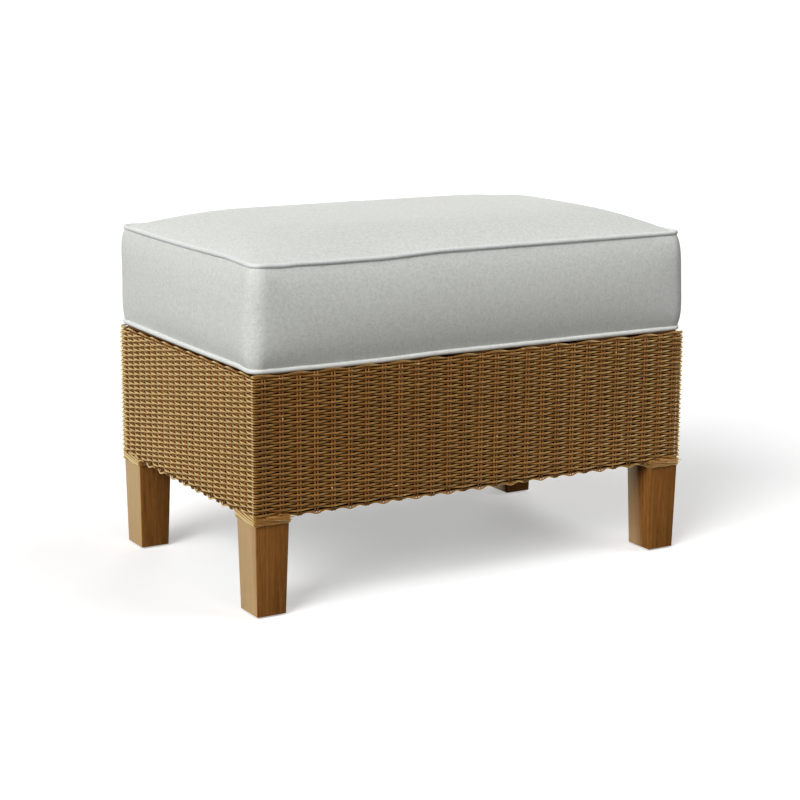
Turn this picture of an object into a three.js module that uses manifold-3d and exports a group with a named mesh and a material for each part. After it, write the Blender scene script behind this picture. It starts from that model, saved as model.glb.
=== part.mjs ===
// Outdoor ottoman footstool: a hardwood frame on four tapered legs, a skirt of woven resin
// cane between waving border strands, a slatted deck and a welted box cushion that lifts off.
// Millimetres, +Z up. The origin is on the floor under the middle of the stool, +X runs
// along its long side and -Y faces the front.
import * as THREE from "three";
import { mergeVertices } from "three/addons/utils/BufferGeometryUtils.js";
import Module from "manifold-3d";

const wasm = await Module();
wasm.setup();

// Fits
const clearance = 0.3;
const cutOverrun = 5;

// Skirt
const skirtWidth = 680;
const skirtDepth = 426;
const skirtHeight = 188;
const skirtCornerRadius = 12;

// Weave, with its stakes in pairs, its cane in rows and a dark lining behind them
const stakeDiameter = 2.5;
const caneDiameter = 2.4;
const liningThickness = 1.7;
const longStakePairs = 27;
const shortStakePairs = 21;
const cornerStakeGap = 16;
const caneRowPitch = 4.9;
const underHeightShare = 0.68;
const cornerHeightShare = 0.85;
const borderDiameter = 3.4;
const borderWave = 1.1;

// Legs and their glides
const glideHeight = 2;
const glideDiameter = 26;
const glideStemDiameter = 6;
const glideStemLength = 12;
const legHeight = 128;
const legWidth = 48;
const legDepth = 54.5;
const legInset = 3.6;
const legOuterTaper = 2.3;
const legInnerTaper = 4;
const legEdge = 1.2;

// Cane bound round the head of each leg
const wrapStrands = 4;
const wrapStrandDiameter = 3.2;
const wrapHeight = 12.4;

// Frame rails, with a tenon at each end
const railThickness = 20;
const topRailHeight = 40;
const bottomRailHeight = 30;
const bottomRailRise = 6;
const tenonThickness = 8;
const tenonLength = 16;
const tenonSetback = 6;
const tenonShoulder = 7;
const centreRailHeight = 32;

// Corner blocks and the bolts that draw them to the posts
const blockThickness = 18;
const blockHeight = 36;
const boltDiameter = 6;
const boltDepth = 28;
const boltHeadWidth = 10;
const boltHeadHeight = 4;

// Slatted deck
const slatCount = 7;
const slatWidth = 50;
const slatThickness = 8;
const deckRise = 0.5;

// Cushion, measured between the middles of its welts. It is cut to the skirt below it, less
// a margin at each end and each long side.
const cushionEndMargin = 1;
const cushionSideMargin = 10;
const cushionWidth = skirtWidth - 2 * cushionEndMargin;
const cushionDepth = skirtDepth - 2 * cushionSideMargin;
const cushionHeight = 134;
const cushionCornerRadius = 24;
const cushionCrown = 30;
const cushionBulge = 6;
const weltDiameter = 6.6;
const coverThickness = 1.6;
const foamSlack = 2;
const crownEdgeX = 48;
const crownEdgeY = 51;

// Zip in the back of the boxing, which stops short of the cushion's ends
const zipEndMargin = 79;
const zipLength = cushionWidth - 2 * zipEndMargin;
const zipTapeHeight = 24;
const zipTapeThickness = 1;
const zipCoilHeight = 5;
const zipCoilThickness = 1.4;
const sliderLength = 12;
const sliderHeight = 9;
const sliderThickness = 2.2;
const pullLength = 22;
const pullWidth = 7;
const pullThickness = 1.2;

// Heights above the floor
const skirtBottom = glideHeight + legHeight;
const skirtTop = skirtBottom + skirtHeight;
const borderBand = borderDiameter + 2 * borderWave;
const weaveBottom = skirtBottom + borderBand + clearance;
const weaveTop = skirtTop - borderBand - clearance;
const deckTop = skirtTop + deckRise;
const railTop = deckTop - slatThickness - clearance;
const topRailBottom = railTop - topRailHeight;
const bottomRailBottom = skirtBottom + bottomRailRise;
const cushionBottom = deckTop + clearance;
const bottomWeltZ = cushionBottom + weltDiameter / 2;
const topWeltZ = bottomWeltZ + cushionHeight;

// Depths measured in from the outside of the skirt
const weaveThickness = stakeDiameter + 2 * caneDiameter + liningThickness;
const frameInset = weaveThickness + clearance;
const railInset = frameInset + railThickness;
const postInsetX = legInset + legWidth;
const postInsetY = legInset + legDepth;

// Colours and surfaces
const surface = (color, roughness, metalness = 0) =>
  new THREE.MeshStandardMaterial({ color, roughness, metalness });
const legWood = surface(0xb98c5a, 0.6);
const frameWood = surface(0x9c7648, 0.75);
const cane = surface(0xa87b45, 0.45);
const nylon = surface(0x2a2624, 0.5);
const steel = surface(0xb8bcc0, 0.35, 1);
const fabric = surface(0xcfd1cc, 0.95);
const foam = surface(0xf0ead2, 0.9);
const zipPlastic = surface(0xdadad6, 0.6);

// Solids from points, booleans and small helpers

// Six times the volume inside a mesh, less than zero when its faces point in
function signedVolume(points, triangles) {
  let sum = 0;
  const cross = new THREE.Vector3();
  for (const [a, b, c] of triangles)
    sum += points[a].dot(cross.crossVectors(points[b], points[c]));
  return sum;
}

function meshFrom(points, triangles) {
  const facesOut = signedVolume(points, triangles) > 0;
  const order = facesOut ? triangles : triangles.map(([a, b, c]) => [a, c, b]);
  return new THREE.BufferGeometry().setFromPoints(points).setIndex(order.flat());
}

// Joins closed rings of points, each with as many points, by quads that are halved along
// their shorter diagonal. The end rings are capped with a fan from their middle, or joined
// to each other where the rings go all the way round.
function loft(rings, goesRound = false) {
  const points = rings.flat();
  const size = rings[0].length;
  const triangles = [];
  const bands = goesRound ? rings.length : rings.length - 1;
  for (let ring = 0; ring < bands; ring += 1)
    for (let i = 0; i < size; i += 1) {
      const next = (i + 1) % size;
      const here = ring * size;
      const above = ((ring + 1) % rings.length) * size;
      const [a, b, c, d] = [here + i, here + next, above + next, above + i];
      const rising = points[a].distanceTo(points[c]) <= points[b].distanceTo(points[d]);
      if (rising) triangles.push([a, b, c], [a, c, d]);
      else triangles.push([b, c, d], [b, d, a]);
    }
  if (!goesRound)
    for (const ring of [0, rings.length - 1]) {
      const middle = new THREE.Vector3();
      for (const point of rings[ring]) middle.addScaledVector(point, 1 / size);
      points.push(middle);
      for (let i = 0; i < size; i += 1) {
        const edge = [ring * size + i, ring * size + ((i + 1) % size)];
        if (ring === 0) edge.reverse();
        triangles.push([...edge, points.length - 1]);
      }
    }
  return meshFrom(points, triangles);
}

function toManifold(geometry) {
  const bare = geometry.clone();
  bare.deleteAttribute("normal");
  bare.deleteAttribute("uv");
  const merged = mergeVertices(bare);
  const vertProperties = merged.attributes.position.array;
  const triVerts = new Uint32Array(merged.index.array);
  return new wasm.Manifold(new wasm.Mesh({ numProp: 3, vertProperties, triVerts }));
}

function fromManifold(solid) {
  const { vertProperties, triVerts } = solid.getMesh();
  const geometry = new THREE.BufferGeometry();
  geometry.setAttribute("position", new THREE.BufferAttribute(vertProperties, 3));
  return geometry.setIndex(new THREE.BufferAttribute(triVerts, 1));
}

function cut(geometry, ...tools) {
  const solids = tools.map(toManifold);
  return fromManifold(solids.reduce((rest, tool) => rest.subtract(tool), toManifold(geometry)));
}

function join(geometry, ...others) {
  const solids = others.map(toManifold);
  return fromManifold(solids.reduce((whole, other) => whole.add(other), toManifold(geometry)));
}

// A block between two values on each axis
function block(x0, x1, y0, y1, z0, z1) {
  const box = new THREE.BoxGeometry(Math.abs(x1 - x0), Math.abs(y1 - y0), Math.abs(z1 - z0));
  return box.translate((x0 + x1) / 2, (y0 + y1) / 2, (z0 + z1) / 2);
}

// An upright cylinder or prism between two heights, its flats found by its number of sides
function rod(diameter, z0, z1, sides) {
  const cylinder = new THREE.CylinderGeometry(diameter / 2, diameter / 2, z1 - z0, sides);
  return cylinder.rotateX(Math.PI / 2).translate(0, 0, (z0 + z1) / 2);
}

function node(name, geometry, material) {
  const mesh = new THREE.Mesh(geometry, material);
  mesh.name = name;
  return mesh;
}

// The four corners, and places in a corner measured in from the two outsides of the skirt
const corners = [
  { name: "front_left", x: -1, y: -1 },
  { name: "front_right", x: 1, y: -1 },
  { name: "back_left", x: -1, y: 1 },
  { name: "back_right", x: 1, y: 1 },
];
const inX = (corner, depth) => corner.x * (skirtWidth / 2 - depth);
const inY = (corner, depth) => corner.y * (skirtDepth / 2 - depth);
const inCorner = (corner, u, v, z) => new THREE.Vector3(inX(corner, u), inY(corner, v), z);
const cornerBlock = (corner, u0, u1, v0, v1, z0, z1) =>
  block(inX(corner, u0), inX(corner, u1), inY(corner, v0), inY(corner, v1), z0, z1);

// The four sides, each modelled as the front is and then turned into place
const sides = [
  { name: "front", turn: 0, half: skirtWidth / 2, across: skirtDepth / 2, pairs: longStakePairs },
  { name: "right", turn: Math.PI / 2, half: skirtDepth / 2, across: skirtWidth / 2, pairs: shortStakePairs },
  { name: "back", turn: Math.PI, half: skirtWidth / 2, across: skirtDepth / 2, pairs: longStakePairs },
  { name: "left", turn: -Math.PI / 2, half: skirtDepth / 2, across: skirtWidth / 2, pairs: shortStakePairs },
];
const isLongSide = (side) => side.turn === 0 || side.turn === Math.PI;

// Legs

// An outline with eased edges, from one depth on both axes to the post's, less a taper
function easedOutline(corner, outer, taper, z) {
  const innerX = postInsetX - taper;
  const innerY = postInsetY - taper;
  const plan = [
    [outer + legEdge, outer],
    [innerX - legEdge, outer],
    [innerX, outer + legEdge],
    [innerX, innerY - legEdge],
    [innerX - legEdge, innerY],
    [outer + legEdge, innerY],
    [outer, innerY - legEdge],
    [outer, outer + legEdge],
  ];
  return plan.map(([u, v]) => inCorner(corner, u, v, z));
}

// The sockets that one rail's tenons need in a post, one for the rail along X and one along Y
function mortises(corner, railBottom, railHeight) {
  const deepX = postInsetX - tenonLength - clearance;
  const deepY = postInsetY - tenonLength - clearance;
  const near = frameInset + tenonSetback - clearance;
  const far = frameInset + tenonSetback + tenonThickness + clearance;
  const low = railBottom + tenonShoulder - clearance;
  const high = railBottom + railHeight - tenonShoulder + clearance;
  return [
    cornerBlock(corner, deepX, postInsetX + cutOverrun, near, far, low, high),
    cornerBlock(corner, near, far, deepY, postInsetY + cutOverrun, low, high),
  ];
}

// A tapered leg that steps in under the weave and runs on as the post of the frame
function leg(corner) {
  const foot = easedOutline(corner, legInset + legOuterTaper, legInnerTaper, glideHeight);
  const head = easedOutline(corner, legInset, 0, skirtBottom);
  const top = easedOutline(corner, legInset, 0, railTop);
  const shoulder = weaveBottom - clearance;
  const pastX = postInsetX + cutOverrun;
  const pastY = postInsetY + cutOverrun;
  const above = railTop + cutOverrun;
  const rebateX = cornerBlock(corner, -cutOverrun, frameInset, -cutOverrun, pastY, shoulder, above);
  const rebateY = cornerBlock(corner, -cutOverrun, pastX, -cutOverrun, frameInset, shoulder, above);
  const stemHole = rod(
    glideStemDiameter + 2 * clearance,
    glideHeight - cutOverrun,
    glideHeight + glideStemLength + clearance,
    8,
  ).translate(inX(corner, footMiddleX), inY(corner, footMiddleY), 0);
  return cut(
    loft([foot, head, top]),
    rebateX,
    rebateY,
    ...mortises(corner, topRailBottom, topRailHeight),
    ...mortises(corner, bottomRailBottom, bottomRailHeight),
    boltHole(corner),
    stemHole,
  );
}

// The middle of a leg's foot, measured in from the two outsides of the skirt
const footMiddleX = (legInset + legOuterTaper + postInsetX - legInnerTaper) / 2;
const footMiddleY = (legInset + legOuterTaper + postInsetY - legInnerTaper) / 2;

// A nylon disc under the leg, with a stem driven into the end grain
function glide(corner) {
  const disc = rod(glideDiameter, 0, glideHeight - clearance, 24);
  const stem = rod(glideStemDiameter, glideHeight / 2, glideHeight + glideStemLength, 8);
  return join(disc, stem).translate(inX(corner, footMiddleX), inY(corner, footMiddleY), 0);
}

// Turns of cane bound round the head of a leg, each bulging out between two grooves
function legWrap(corner) {
  const top = weaveBottom - clearance;
  const turn = wrapHeight / wrapStrands;
  const inner = legEdge + clearance;
  const groove = inner + wrapStrandDiameter / 2;
  const profile = [[inner, top - wrapHeight]];
  for (let i = 0; i < wrapStrands; i += 1) {
    const low = top - wrapHeight + i * turn;
    if (i > 0) profile.push([groove, low]);
    profile.push([inner + wrapStrandDiameter, low + turn / 4]);
    profile.push([inner + wrapStrandDiameter, low + (3 * turn) / 4]);
  }
  profile.push([inner, top]);
  const near = legInset + legEdge;
  const farX = postInsetX - legEdge;
  const farY = postInsetY - legEdge;
  const bends = [
    [near, near, Math.PI],
    [farX, near, 1.5 * Math.PI],
    [farX, farY, 0],
    [near, farY, 0.5 * Math.PI],
  ];
  const rings = profile.map(([out, z]) =>
    bends.flatMap(([u, v, from]) =>
      [0, 1, 2].map((step) => {
        const angle = from + (step * Math.PI) / 4;
        return inCorner(corner, u + out * Math.cos(angle), v + out * Math.sin(angle), z);
      }),
    ),
  );
  return loft(rings, true);
}

// Frame

// A rail with a tenon at each end, its outer face against the back of the weave
function rail(side, bottom, height) {
  const post = isLongSide(side) ? postInsetX : postInsetY;
  const shoulder = side.half - post - clearance;
  const tenon = side.half - post + tenonLength;
  const outer = -(side.across - frameInset);
  const tenonOuter = outer + tenonSetback;
  const top = bottom + height;
  return join(
    block(-shoulder, shoulder, outer, outer + railThickness, bottom, top),
    block(
      -tenon,
      tenon,
      tenonOuter,
      tenonOuter + tenonThickness,
      bottom + tenonShoulder,
      top - tenonShoulder,
    ),
  );
}

// The rail that carries the slats at mid depth, between the left and right top rails
function centreRail() {
  const reach = skirtWidth / 2 - railInset - clearance;
  const side = railThickness / 2;
  return block(-reach, reach, -side, side, railTop - centreRailHeight, railTop);
}

// A corner block lies across the corner, from one top rail to the other, against the post.
// Its faces are lines on which u plus v is the same.
const blockNearSum = postInsetX + postInsetY - legEdge + clearance * Math.SQRT2;
const blockFarSum = blockNearSum + blockThickness * Math.SQRT2;

function cornerBrace(corner) {
  const end = railInset + clearance;
  const plan = [
    [end, blockNearSum - end],
    [end, blockFarSum - end],
    [blockFarSum - end, end],
    [blockNearSum - end, end],
  ];
  const at = (z) => plan.map(([u, v]) => inCorner(corner, u, v, z));
  return cut(loft([at(railTop - blockHeight), at(railTop)]), boltHole(corner));
}

// The corner bolt points from inside the post out through the block, level with its middle
const boltZ = railTop - blockHeight / 2;
const boltTipSum = postInsetX + postInsetY - legEdge - boltDepth * Math.SQRT2;
const boltTipX = (boltTipSum + postInsetX - postInsetY) / 2;
const boltTipY = (boltTipSum - postInsetX + postInsetY) / 2;
const boltGrip = (blockFarSum - boltTipSum) / Math.SQRT2 + clearance;

// Lays a shape made upright at the origin along the bolt's line, from its tip. The line runs
// at 45 degrees through the inner edge of the post.
function alongBolt(corner, geometry) {
  const inward = new THREE.Vector3(-corner.x, -corner.y, 0).normalize();
  const up = new THREE.Vector3(0, 0, 1);
  geometry.applyQuaternion(new THREE.Quaternion().setFromUnitVectors(up, inward));
  const tip = inCorner(corner, boltTipX, boltTipY, boltZ);
  return geometry.translate(tip.x, tip.y, tip.z);
}

function boltHole(corner) {
  const hole = rod(boltDiameter + 2 * clearance, -clearance, boltGrip + cutOverrun, 12);
  return alongBolt(corner, hole);
}

function cornerBolt(corner) {
  const shank = rod(boltDiameter, 0, boltGrip + boltHeadHeight / 2, 12);
  const head = rod(boltHeadWidth, boltGrip, boltGrip + boltHeadHeight, 6);
  return alongBolt(corner, join(shank, head));
}

// A slat of the deck, lying from the front rail to the back rail
function slat(index) {
  const reachX = skirtWidth / 2 - frameInset;
  const reachY = skirtDepth / 2 - frameInset;
  const pitch = (2 * reachX - slatWidth) / (slatCount - 1);
  const left = -reachX + index * pitch;
  return block(left, left + slatWidth, -reachY, reachY, deckTop - slatThickness, deckTop);
}

// Weave

// One side of the woven skirt. Its outer face rises where a cane passes over a pair of
// stakes and falls where it passes behind, and its ends are mitred round the corners.
function wovenSide(side) {
  const back = -(side.across - weaveThickness);
  const mitre = clearance / Math.SQRT2;
  const flatEnd = side.half - skirtCornerRadius;
  const firstPair = side.half - cornerStakeGap;
  const pitch = (2 * firstPair) / (side.pairs - 1);
  const innerEnd = side.half - weaveThickness - mitre;

  // Columns from the left mitre to the right one: place on the back, and place at a height
  const columns = [];
  const cornerColumn = (way, angle, backX, shift) => ({
    backX: way * backX,
    onCorner: true,
    at: (height) => {
      const reach = skirtCornerRadius - weaveThickness + height;
      const x = flatEnd - shift + reach * Math.sin(angle);
      return [way * x, -(side.across - skirtCornerRadius) - reach * Math.cos(angle)];
    },
  });
  const endColumn = (way) => cornerColumn(way, Math.PI / 4, innerEnd, mitre);
  const bendColumn = (way) => cornerColumn(way, Math.PI / 12, (firstPair + innerEnd) / 2, 0);
  columns.push(endColumn(-1), bendColumn(-1));
  for (let i = 0; i < side.pairs; i += 1) {
    const x = -firstPair + i * pitch;
    columns.push({ backX: x, onCorner: false, at: (height) => [x, back - height] });
  }
  columns.push(bendColumn(1), endColumn(1));

  // Rows from the bottom edge to the top one, with a row of cane at each height between
  const rowCount = Math.round((weaveTop - weaveBottom) / caneRowPitch);
  const rowHeight = (weaveTop - weaveBottom) / rowCount;
  const rows = [weaveBottom];
  for (let j = 0; j < rowCount; j += 1) rows.push(weaveBottom + (j + 0.5) * rowHeight);
  rows.push(weaveTop);

  const lastColumn = columns.length - 1;
  const lastRow = rows.length - 1;
  const heightShare = (i, j) => {
    if (columns[i].onCorner || j === 0 || j === lastRow) return cornerHeightShare;
    return (i + j) % 2 === 0 ? 1 : underHeightShare;
  };
  const points = [];
  const outer = columns.map((column, i) =>
    rows.map((z, j) => {
      const [x, y] = column.at(weaveThickness * heightShare(i, j));
      points.push(new THREE.Vector3(x, y, z));
      return points.length - 1;
    }),
  );
  const triangles = [];
  for (let i = 0; i < lastColumn; i += 1)
    for (let j = 0; j < lastRow; j += 1) {
      const quad = [outer[i][j], outer[i + 1][j], outer[i + 1][j + 1], outer[i][j + 1]];
      const [a, b, c, d] = (i + j) % 2 === 0 ? quad : [...quad.slice(1), quad[0]];
      triangles.push([a, b, c], [a, c, d]);
    }

  // The rim runs round the outer face, with a point straight behind each of its points
  const rim = [];
  for (let i = 0; i < lastColumn; i += 1) rim.push([i, 0]);
  for (let j = 0; j < lastRow; j += 1) rim.push([lastColumn, j]);
  for (let i = lastColumn; i > 0; i -= 1) rim.push([i, lastRow]);
  for (let j = lastRow; j > 0; j -= 1) rim.push([0, j]);
  const rimOuter = rim.map(([i, j]) => outer[i][j]);
  const rimBack = rim.map(([i, j]) => {
    points.push(new THREE.Vector3(columns[i].backX, back, rows[j]));
    return points.length - 1;
  });
  points.push(new THREE.Vector3(0, back, (weaveBottom + weaveTop) / 2));
  const middle = points.length - 1;
  rim.forEach((_, k) => {
    const next = (k + 1) % rim.length;
    triangles.push([rimOuter[next], rimOuter[k], rimBack[k]]);
    triangles.push([rimOuter[next], rimBack[k], rimBack[next]]);
    triangles.push([rimBack[next], rimBack[k], middle]);
  });
  return meshFrom(points, triangles);
}

// A border strand that rises and falls by one wave over every two pairs of stakes
function borderStrand(side, middleZ, reach, firstRises) {
  const firstPair = side.half - cornerStakeGap;
  const pitch = (2 * firstPair) / (side.pairs - 1);
  const y = -(side.across - weaveThickness / 2);
  const stations = [-reach];
  for (let i = 0; i < side.pairs; i += 1) {
    const x = -firstPair + i * pitch;
    if (Math.abs(x) < reach - borderDiameter) stations.push(x);
  }
  stations.push(reach);
  const phaseOf = (x) => Math.round((x + firstPair) / pitch) + (firstRises ? 0 : 1);
  const rings = stations.map((x) => {
    const wave = phaseOf(x) % 2 === 0 ? borderWave : -borderWave;
    const sidesRound = 5;
    return Array.from({ length: sidesRound }, (_, k) => {
      const angle = (2 * Math.PI * k) / sidesRound + Math.PI / 2;
      const radius = borderDiameter / 2;
      return new THREE.Vector3(
        x,
        y + radius * Math.cos(angle),
        middleZ + wave + radius * Math.sin(angle),
      );
    });
  });
  return loft(rings);
}

// The top border runs from corner to corner, and the long sides' strands pass the short ones
function topBorder(side) {
  const crossing = side.half - weaveThickness / 2;
  const past = borderDiameter / 2;
  const reach = isLongSide(side) ? crossing + past : crossing - past - clearance;
  return borderStrand(side, skirtTop - borderBand / 2, reach, true);
}

// The bottom border hangs between two legs
function bottomBorder(side) {
  const post = isLongSide(side) ? postInsetX : postInsetY;
  const reach = side.half - post - wrapStrandDiameter - 2 * clearance;
  return borderStrand(side, skirtBottom + borderBand / 2, reach, false);
}

// Cushion

// A rectangle with round corners, as a ring of points with a number of steps on each stretch
function roundedOutline(halfX, halfY, radius, steps, z) {
  const bends = [
    { x: 1, y: 1, from: 0, straight: steps.long },
    { x: -1, y: 1, from: 0.5 * Math.PI, straight: steps.short },
    { x: -1, y: -1, from: Math.PI, straight: steps.long },
    { x: 1, y: -1, from: 1.5 * Math.PI, straight: steps.short },
  ];
  const bendPoint = ({ x, y, from }, step) => {
    const angle = from + (0.5 * Math.PI * step) / steps.corner;
    return new THREE.Vector3(
      x * (halfX - radius) + radius * Math.cos(angle),
      y * (halfY - radius) + radius * Math.sin(angle),
      z,
    );
  };
  const ring = [];
  bends.forEach((bend, index) => {
    for (let step = 0; step <= steps.corner; step += 1) ring.push(bendPoint(bend, step));
    const end = bendPoint(bend, steps.corner);
    const next = bendPoint(bends[(index + 1) % bends.length], 0);
    for (let step = 1; step < bend.straight; step += 1)
      ring.push(end.clone().lerp(next, step / bend.straight));
  });
  return ring;
}

const coverSteps = { corner: 5, long: 5, short: 3 };
const foamSteps = { corner: 3, long: 5, short: 3 };
const weltRadius = weltDiameter / 2;

// A ring round the cushion, some way out from the middle line of its welts
function cushionRing(out, steps, z) {
  const halfX = cushionWidth / 2 + out;
  const halfY = cushionDepth / 2 + out;
  return roundedOutline(halfX, halfY, cushionCornerRadius + out, steps, z);
}

// How high the crown stands at a place, as a share: level over the middle, steep at the edge
function crownShare(x, y) {
  const halfX = cushionWidth / 2;
  const halfY = cushionDepth / 2;
  const alongX = 1 - Math.min(1, Math.abs(x / halfX)) ** (halfX / crownEdgeX);
  const alongY = 1 - Math.min(1, Math.abs(y / halfY)) ** (halfY / crownEdgeY);
  return alongX * alongY;
}

// Rings drawn in over the top of the cushion, lifted onto the crown
const crownRingShares = [1, 0.95, 0.86, 0.72, 0.5];
function crownRings(out, steps, baseZ, crown) {
  return crownRingShares.map((share) =>
    cushionRing(out, steps, baseZ).map((point) => {
      const x = point.x * share;
      const y = point.y * share;
      return new THREE.Vector3(x, y, baseZ + crown * crownShare(x, y));
    }),
  );
}

const panelOut = -(weltRadius + clearance);

function topPanel() {
  const under = crownRings(panelOut, coverSteps, topWeltZ - coverThickness, cushionCrown);
  const over = crownRings(panelOut, coverSteps, topWeltZ, cushionCrown);
  return loft([...under.reverse(), ...over]);
}

function bottomPanel() {
  const at = (z) => cushionRing(panelOut, coverSteps, z);
  return loft([at(cushionBottom), at(cushionBottom + coverThickness)]);
}

function welt(z) {
  const sidesRound = 6;
  const rings = Array.from({ length: sidesRound }, (_, k) => {
    const angle = (2 * Math.PI * k) / sidesRound;
    const out = weltRadius * Math.cos(angle);
    return cushionRing(out, coverSteps, z + weltRadius * Math.sin(angle));
  });
  return loft(rings, true);
}

// The boxing bulges between the welts, and is flat over the height where the zip is sewn in
const boxingBottom = bottomWeltZ + weltRadius + clearance;
const boxingTop = topWeltZ - weltRadius - clearance;
const zipFlatShare = (zipTapeHeight + 2 * clearance) / (boxingTop - boxingBottom);
const boxingLevelShares = [0, 0.08, 0.22, (1 - zipFlatShare) / 2];
const bulgeAt = (share) => cushionBulge * Math.sin(Math.PI * share);

function boxing() {
  const levels = [...boxingLevelShares, ...boxingLevelShares.map((share) => 1 - share).reverse()];
  const skin = (depth) =>
    levels.map((share) =>
      cushionRing(
        bulgeAt(share) - depth,
        coverSteps,
        boxingBottom + share * (boxingTop - boxingBottom),
      ),
    );
  return loft([...skin(0), ...skin(coverThickness).reverse()], true);
}

// The foam core fills the cover, with the same bulge and a slightly lower crown
function foamCore() {
  const bottom = cushionBottom + coverThickness + clearance;
  const top = topWeltZ - coverThickness - clearance;
  const out = panelOut - coverThickness;
  const sideShares = [0, 0.15, 0.35, 0.65, 0.85];
  const sideRings = sideShares.map((share) =>
    cushionRing(out + bulgeAt(share), foamSteps, bottom + share * (top - bottom)),
  );
  const crown = cushionCrown - foamSlack;
  return loft([...sideRings, ...crownRings(out, foamSteps, top, crown)]);
}

// Zip

const zipZ = (boxingBottom + boxingTop) / 2;
const zipY = cushionDepth / 2 + bulgeAt((1 - zipFlatShare) / 2) + clearance;
const coilY = zipY + zipTapeThickness + zipCoilThickness;

// The tape lies on the back of the boxing, with the closed coil standing along its middle
function zipChain() {
  const half = zipLength / 2;
  const tape = zipTapeHeight / 2;
  const coil = zipCoilHeight / 2;
  return join(
    block(-half, half, zipY, zipY + zipTapeThickness, zipZ - tape, zipZ + tape),
    block(-half, half, zipY + zipTapeThickness / 2, coilY, zipZ - coil, zipZ + coil),
  );
}

// The slider at the closed end of the zip, with its pull hanging
function zipSlider() {
  const inner = coilY + clearance;
  const left = -zipLength / 2;
  const pull = left + (sliderLength - pullWidth) / 2;
  const half = sliderHeight / 2;
  const outer = inner + sliderThickness;
  return join(
    block(left, left + sliderLength, inner, outer, zipZ - half, zipZ + half),
    block(pull, pull + pullWidth, outer - pullThickness, outer, zipZ - pullLength, zipZ),
  );
}

// Assembly

const base = new THREE.Group();
for (const corner of corners) {
  base.add(node(`leg_${corner.name}`, leg(corner), legWood));
  base.add(node(`glide_${corner.name}`, glide(corner), nylon));
  base.add(node(`leg_wrap_${corner.name}`, legWrap(corner), cane));
  base.add(node(`corner_block_${corner.name}`, cornerBrace(corner), frameWood));
  base.add(node(`corner_bolt_${corner.name}`, cornerBolt(corner), steel));
}
for (const side of sides) {
  const face = new THREE.Group();
  face.rotation.z = side.turn;
  const top = rail(side, topRailBottom, topRailHeight);
  const bottom = rail(side, bottomRailBottom, bottomRailHeight);
  face.add(node(`top_rail_${side.name}`, top, frameWood));
  face.add(node(`bottom_rail_${side.name}`, bottom, frameWood));
  face.add(node(`woven_panel_${side.name}`, wovenSide(side), cane));
  face.add(node(`top_border_${side.name}`, topBorder(side), cane));
  face.add(node(`bottom_border_${side.name}`, bottomBorder(side), cane));
  base.add(face);
}
base.add(node("centre_rail", centreRail(), frameWood));
for (let i = 0; i < slatCount; i += 1)
  base.add(node(`deck_slat_${i + 1}`, slat(i), frameWood));

const cushion = new THREE.Group();
cushion.add(node("cushion_foam", foamCore(), foam));
cushion.add(node("cushion_top_panel", topPanel(), fabric));
cushion.add(node("cushion_bottom_panel", bottomPanel(), fabric));
cushion.add(node("cushion_boxing", boxing(), fabric));
cushion.add(node("cushion_top_welt", welt(topWeltZ), fabric));
cushion.add(node("cushion_bottom_welt", welt(bottomWeltZ), fabric));
cushion.add(node("zip_chain", zipChain(), zipPlastic));
cushion.add(node("zip_slider", zipSlider(), steel));

const footstool = new THREE.Group();
footstool.add(base, cushion);

export default footstool;
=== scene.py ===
# An outdoor ottoman footstool: a hardwood frame on four tapered legs, dressed with a skirt of
# woven resin cane, and a welted box cushion that lifts off a slatted deck. Blender metres,
# +Z up, with the front towards -Y.
import math

import bmesh
import bpy
import numpy as np
from mathutils import Matrix, Vector, noise


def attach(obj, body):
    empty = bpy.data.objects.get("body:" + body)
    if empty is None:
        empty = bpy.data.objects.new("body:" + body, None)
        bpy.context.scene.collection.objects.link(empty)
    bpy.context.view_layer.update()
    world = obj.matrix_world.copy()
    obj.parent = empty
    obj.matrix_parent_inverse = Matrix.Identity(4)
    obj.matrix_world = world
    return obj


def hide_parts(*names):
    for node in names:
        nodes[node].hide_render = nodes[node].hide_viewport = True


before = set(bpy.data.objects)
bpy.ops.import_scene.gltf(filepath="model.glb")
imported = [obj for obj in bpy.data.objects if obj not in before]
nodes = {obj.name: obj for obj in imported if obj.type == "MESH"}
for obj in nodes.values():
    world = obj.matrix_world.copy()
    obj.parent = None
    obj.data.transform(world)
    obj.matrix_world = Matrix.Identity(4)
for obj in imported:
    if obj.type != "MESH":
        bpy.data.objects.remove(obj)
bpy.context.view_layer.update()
scene = bpy.context.scene

# Legs
# Square legs of oiled hardwood, tapered on all four faces, their edges eased by sanding. Each
# runs on behind the weave as a post of the frame, and steps back there to make room for it.
MM = 0.001
HAIR = 0.01 * MM
QUARTER = 0.5 * math.pi
CORNERS = {"front_left": (-1, -1), "front_right": (1, -1),
           "back_left": (-1, 1), "back_right": (1, 1)}
SKIRT_HALF_X = 340 * MM
SKIRT_HALF_Y = 213 * MM
LEG_NEAR = 3.6 * MM
LEG_FAR_X = 51.6 * MM
LEG_FAR_Y = 58.1 * MM
LEG_MIDDLE_X = (LEG_NEAR + LEG_FAR_X) / 2
LEG_MIDDLE_Y = (LEG_NEAR + LEG_FAR_Y) / 2
LEG_SIZE_X = LEG_FAR_X - LEG_NEAR
LEG_SIZE_Y = LEG_FAR_Y - LEG_NEAR
OUTER_TAPER = 2.3 * MM
INNER_TAPER = 4.0 * MM
LEG_FOOT = 2 * MM
LEG_HEAD = 130 * MM
LEG_EDGE = 1.1 * MM
POST_STEP = 135.6 * MM
POST_TOP = 310.2 * MM
POST_NEAR = 9.3 * MM


def only(*pieces):
    """Selects the pieces and nothing else, and makes the first one active."""
    bpy.ops.object.select_all(action="DESELECT")
    for piece in pieces:
        piece.select_set(True)
    bpy.context.view_layer.objects.active = pieces[0]


def edit(piece):
    only(piece)
    bpy.ops.object.mode_set(mode="EDIT")


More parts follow.
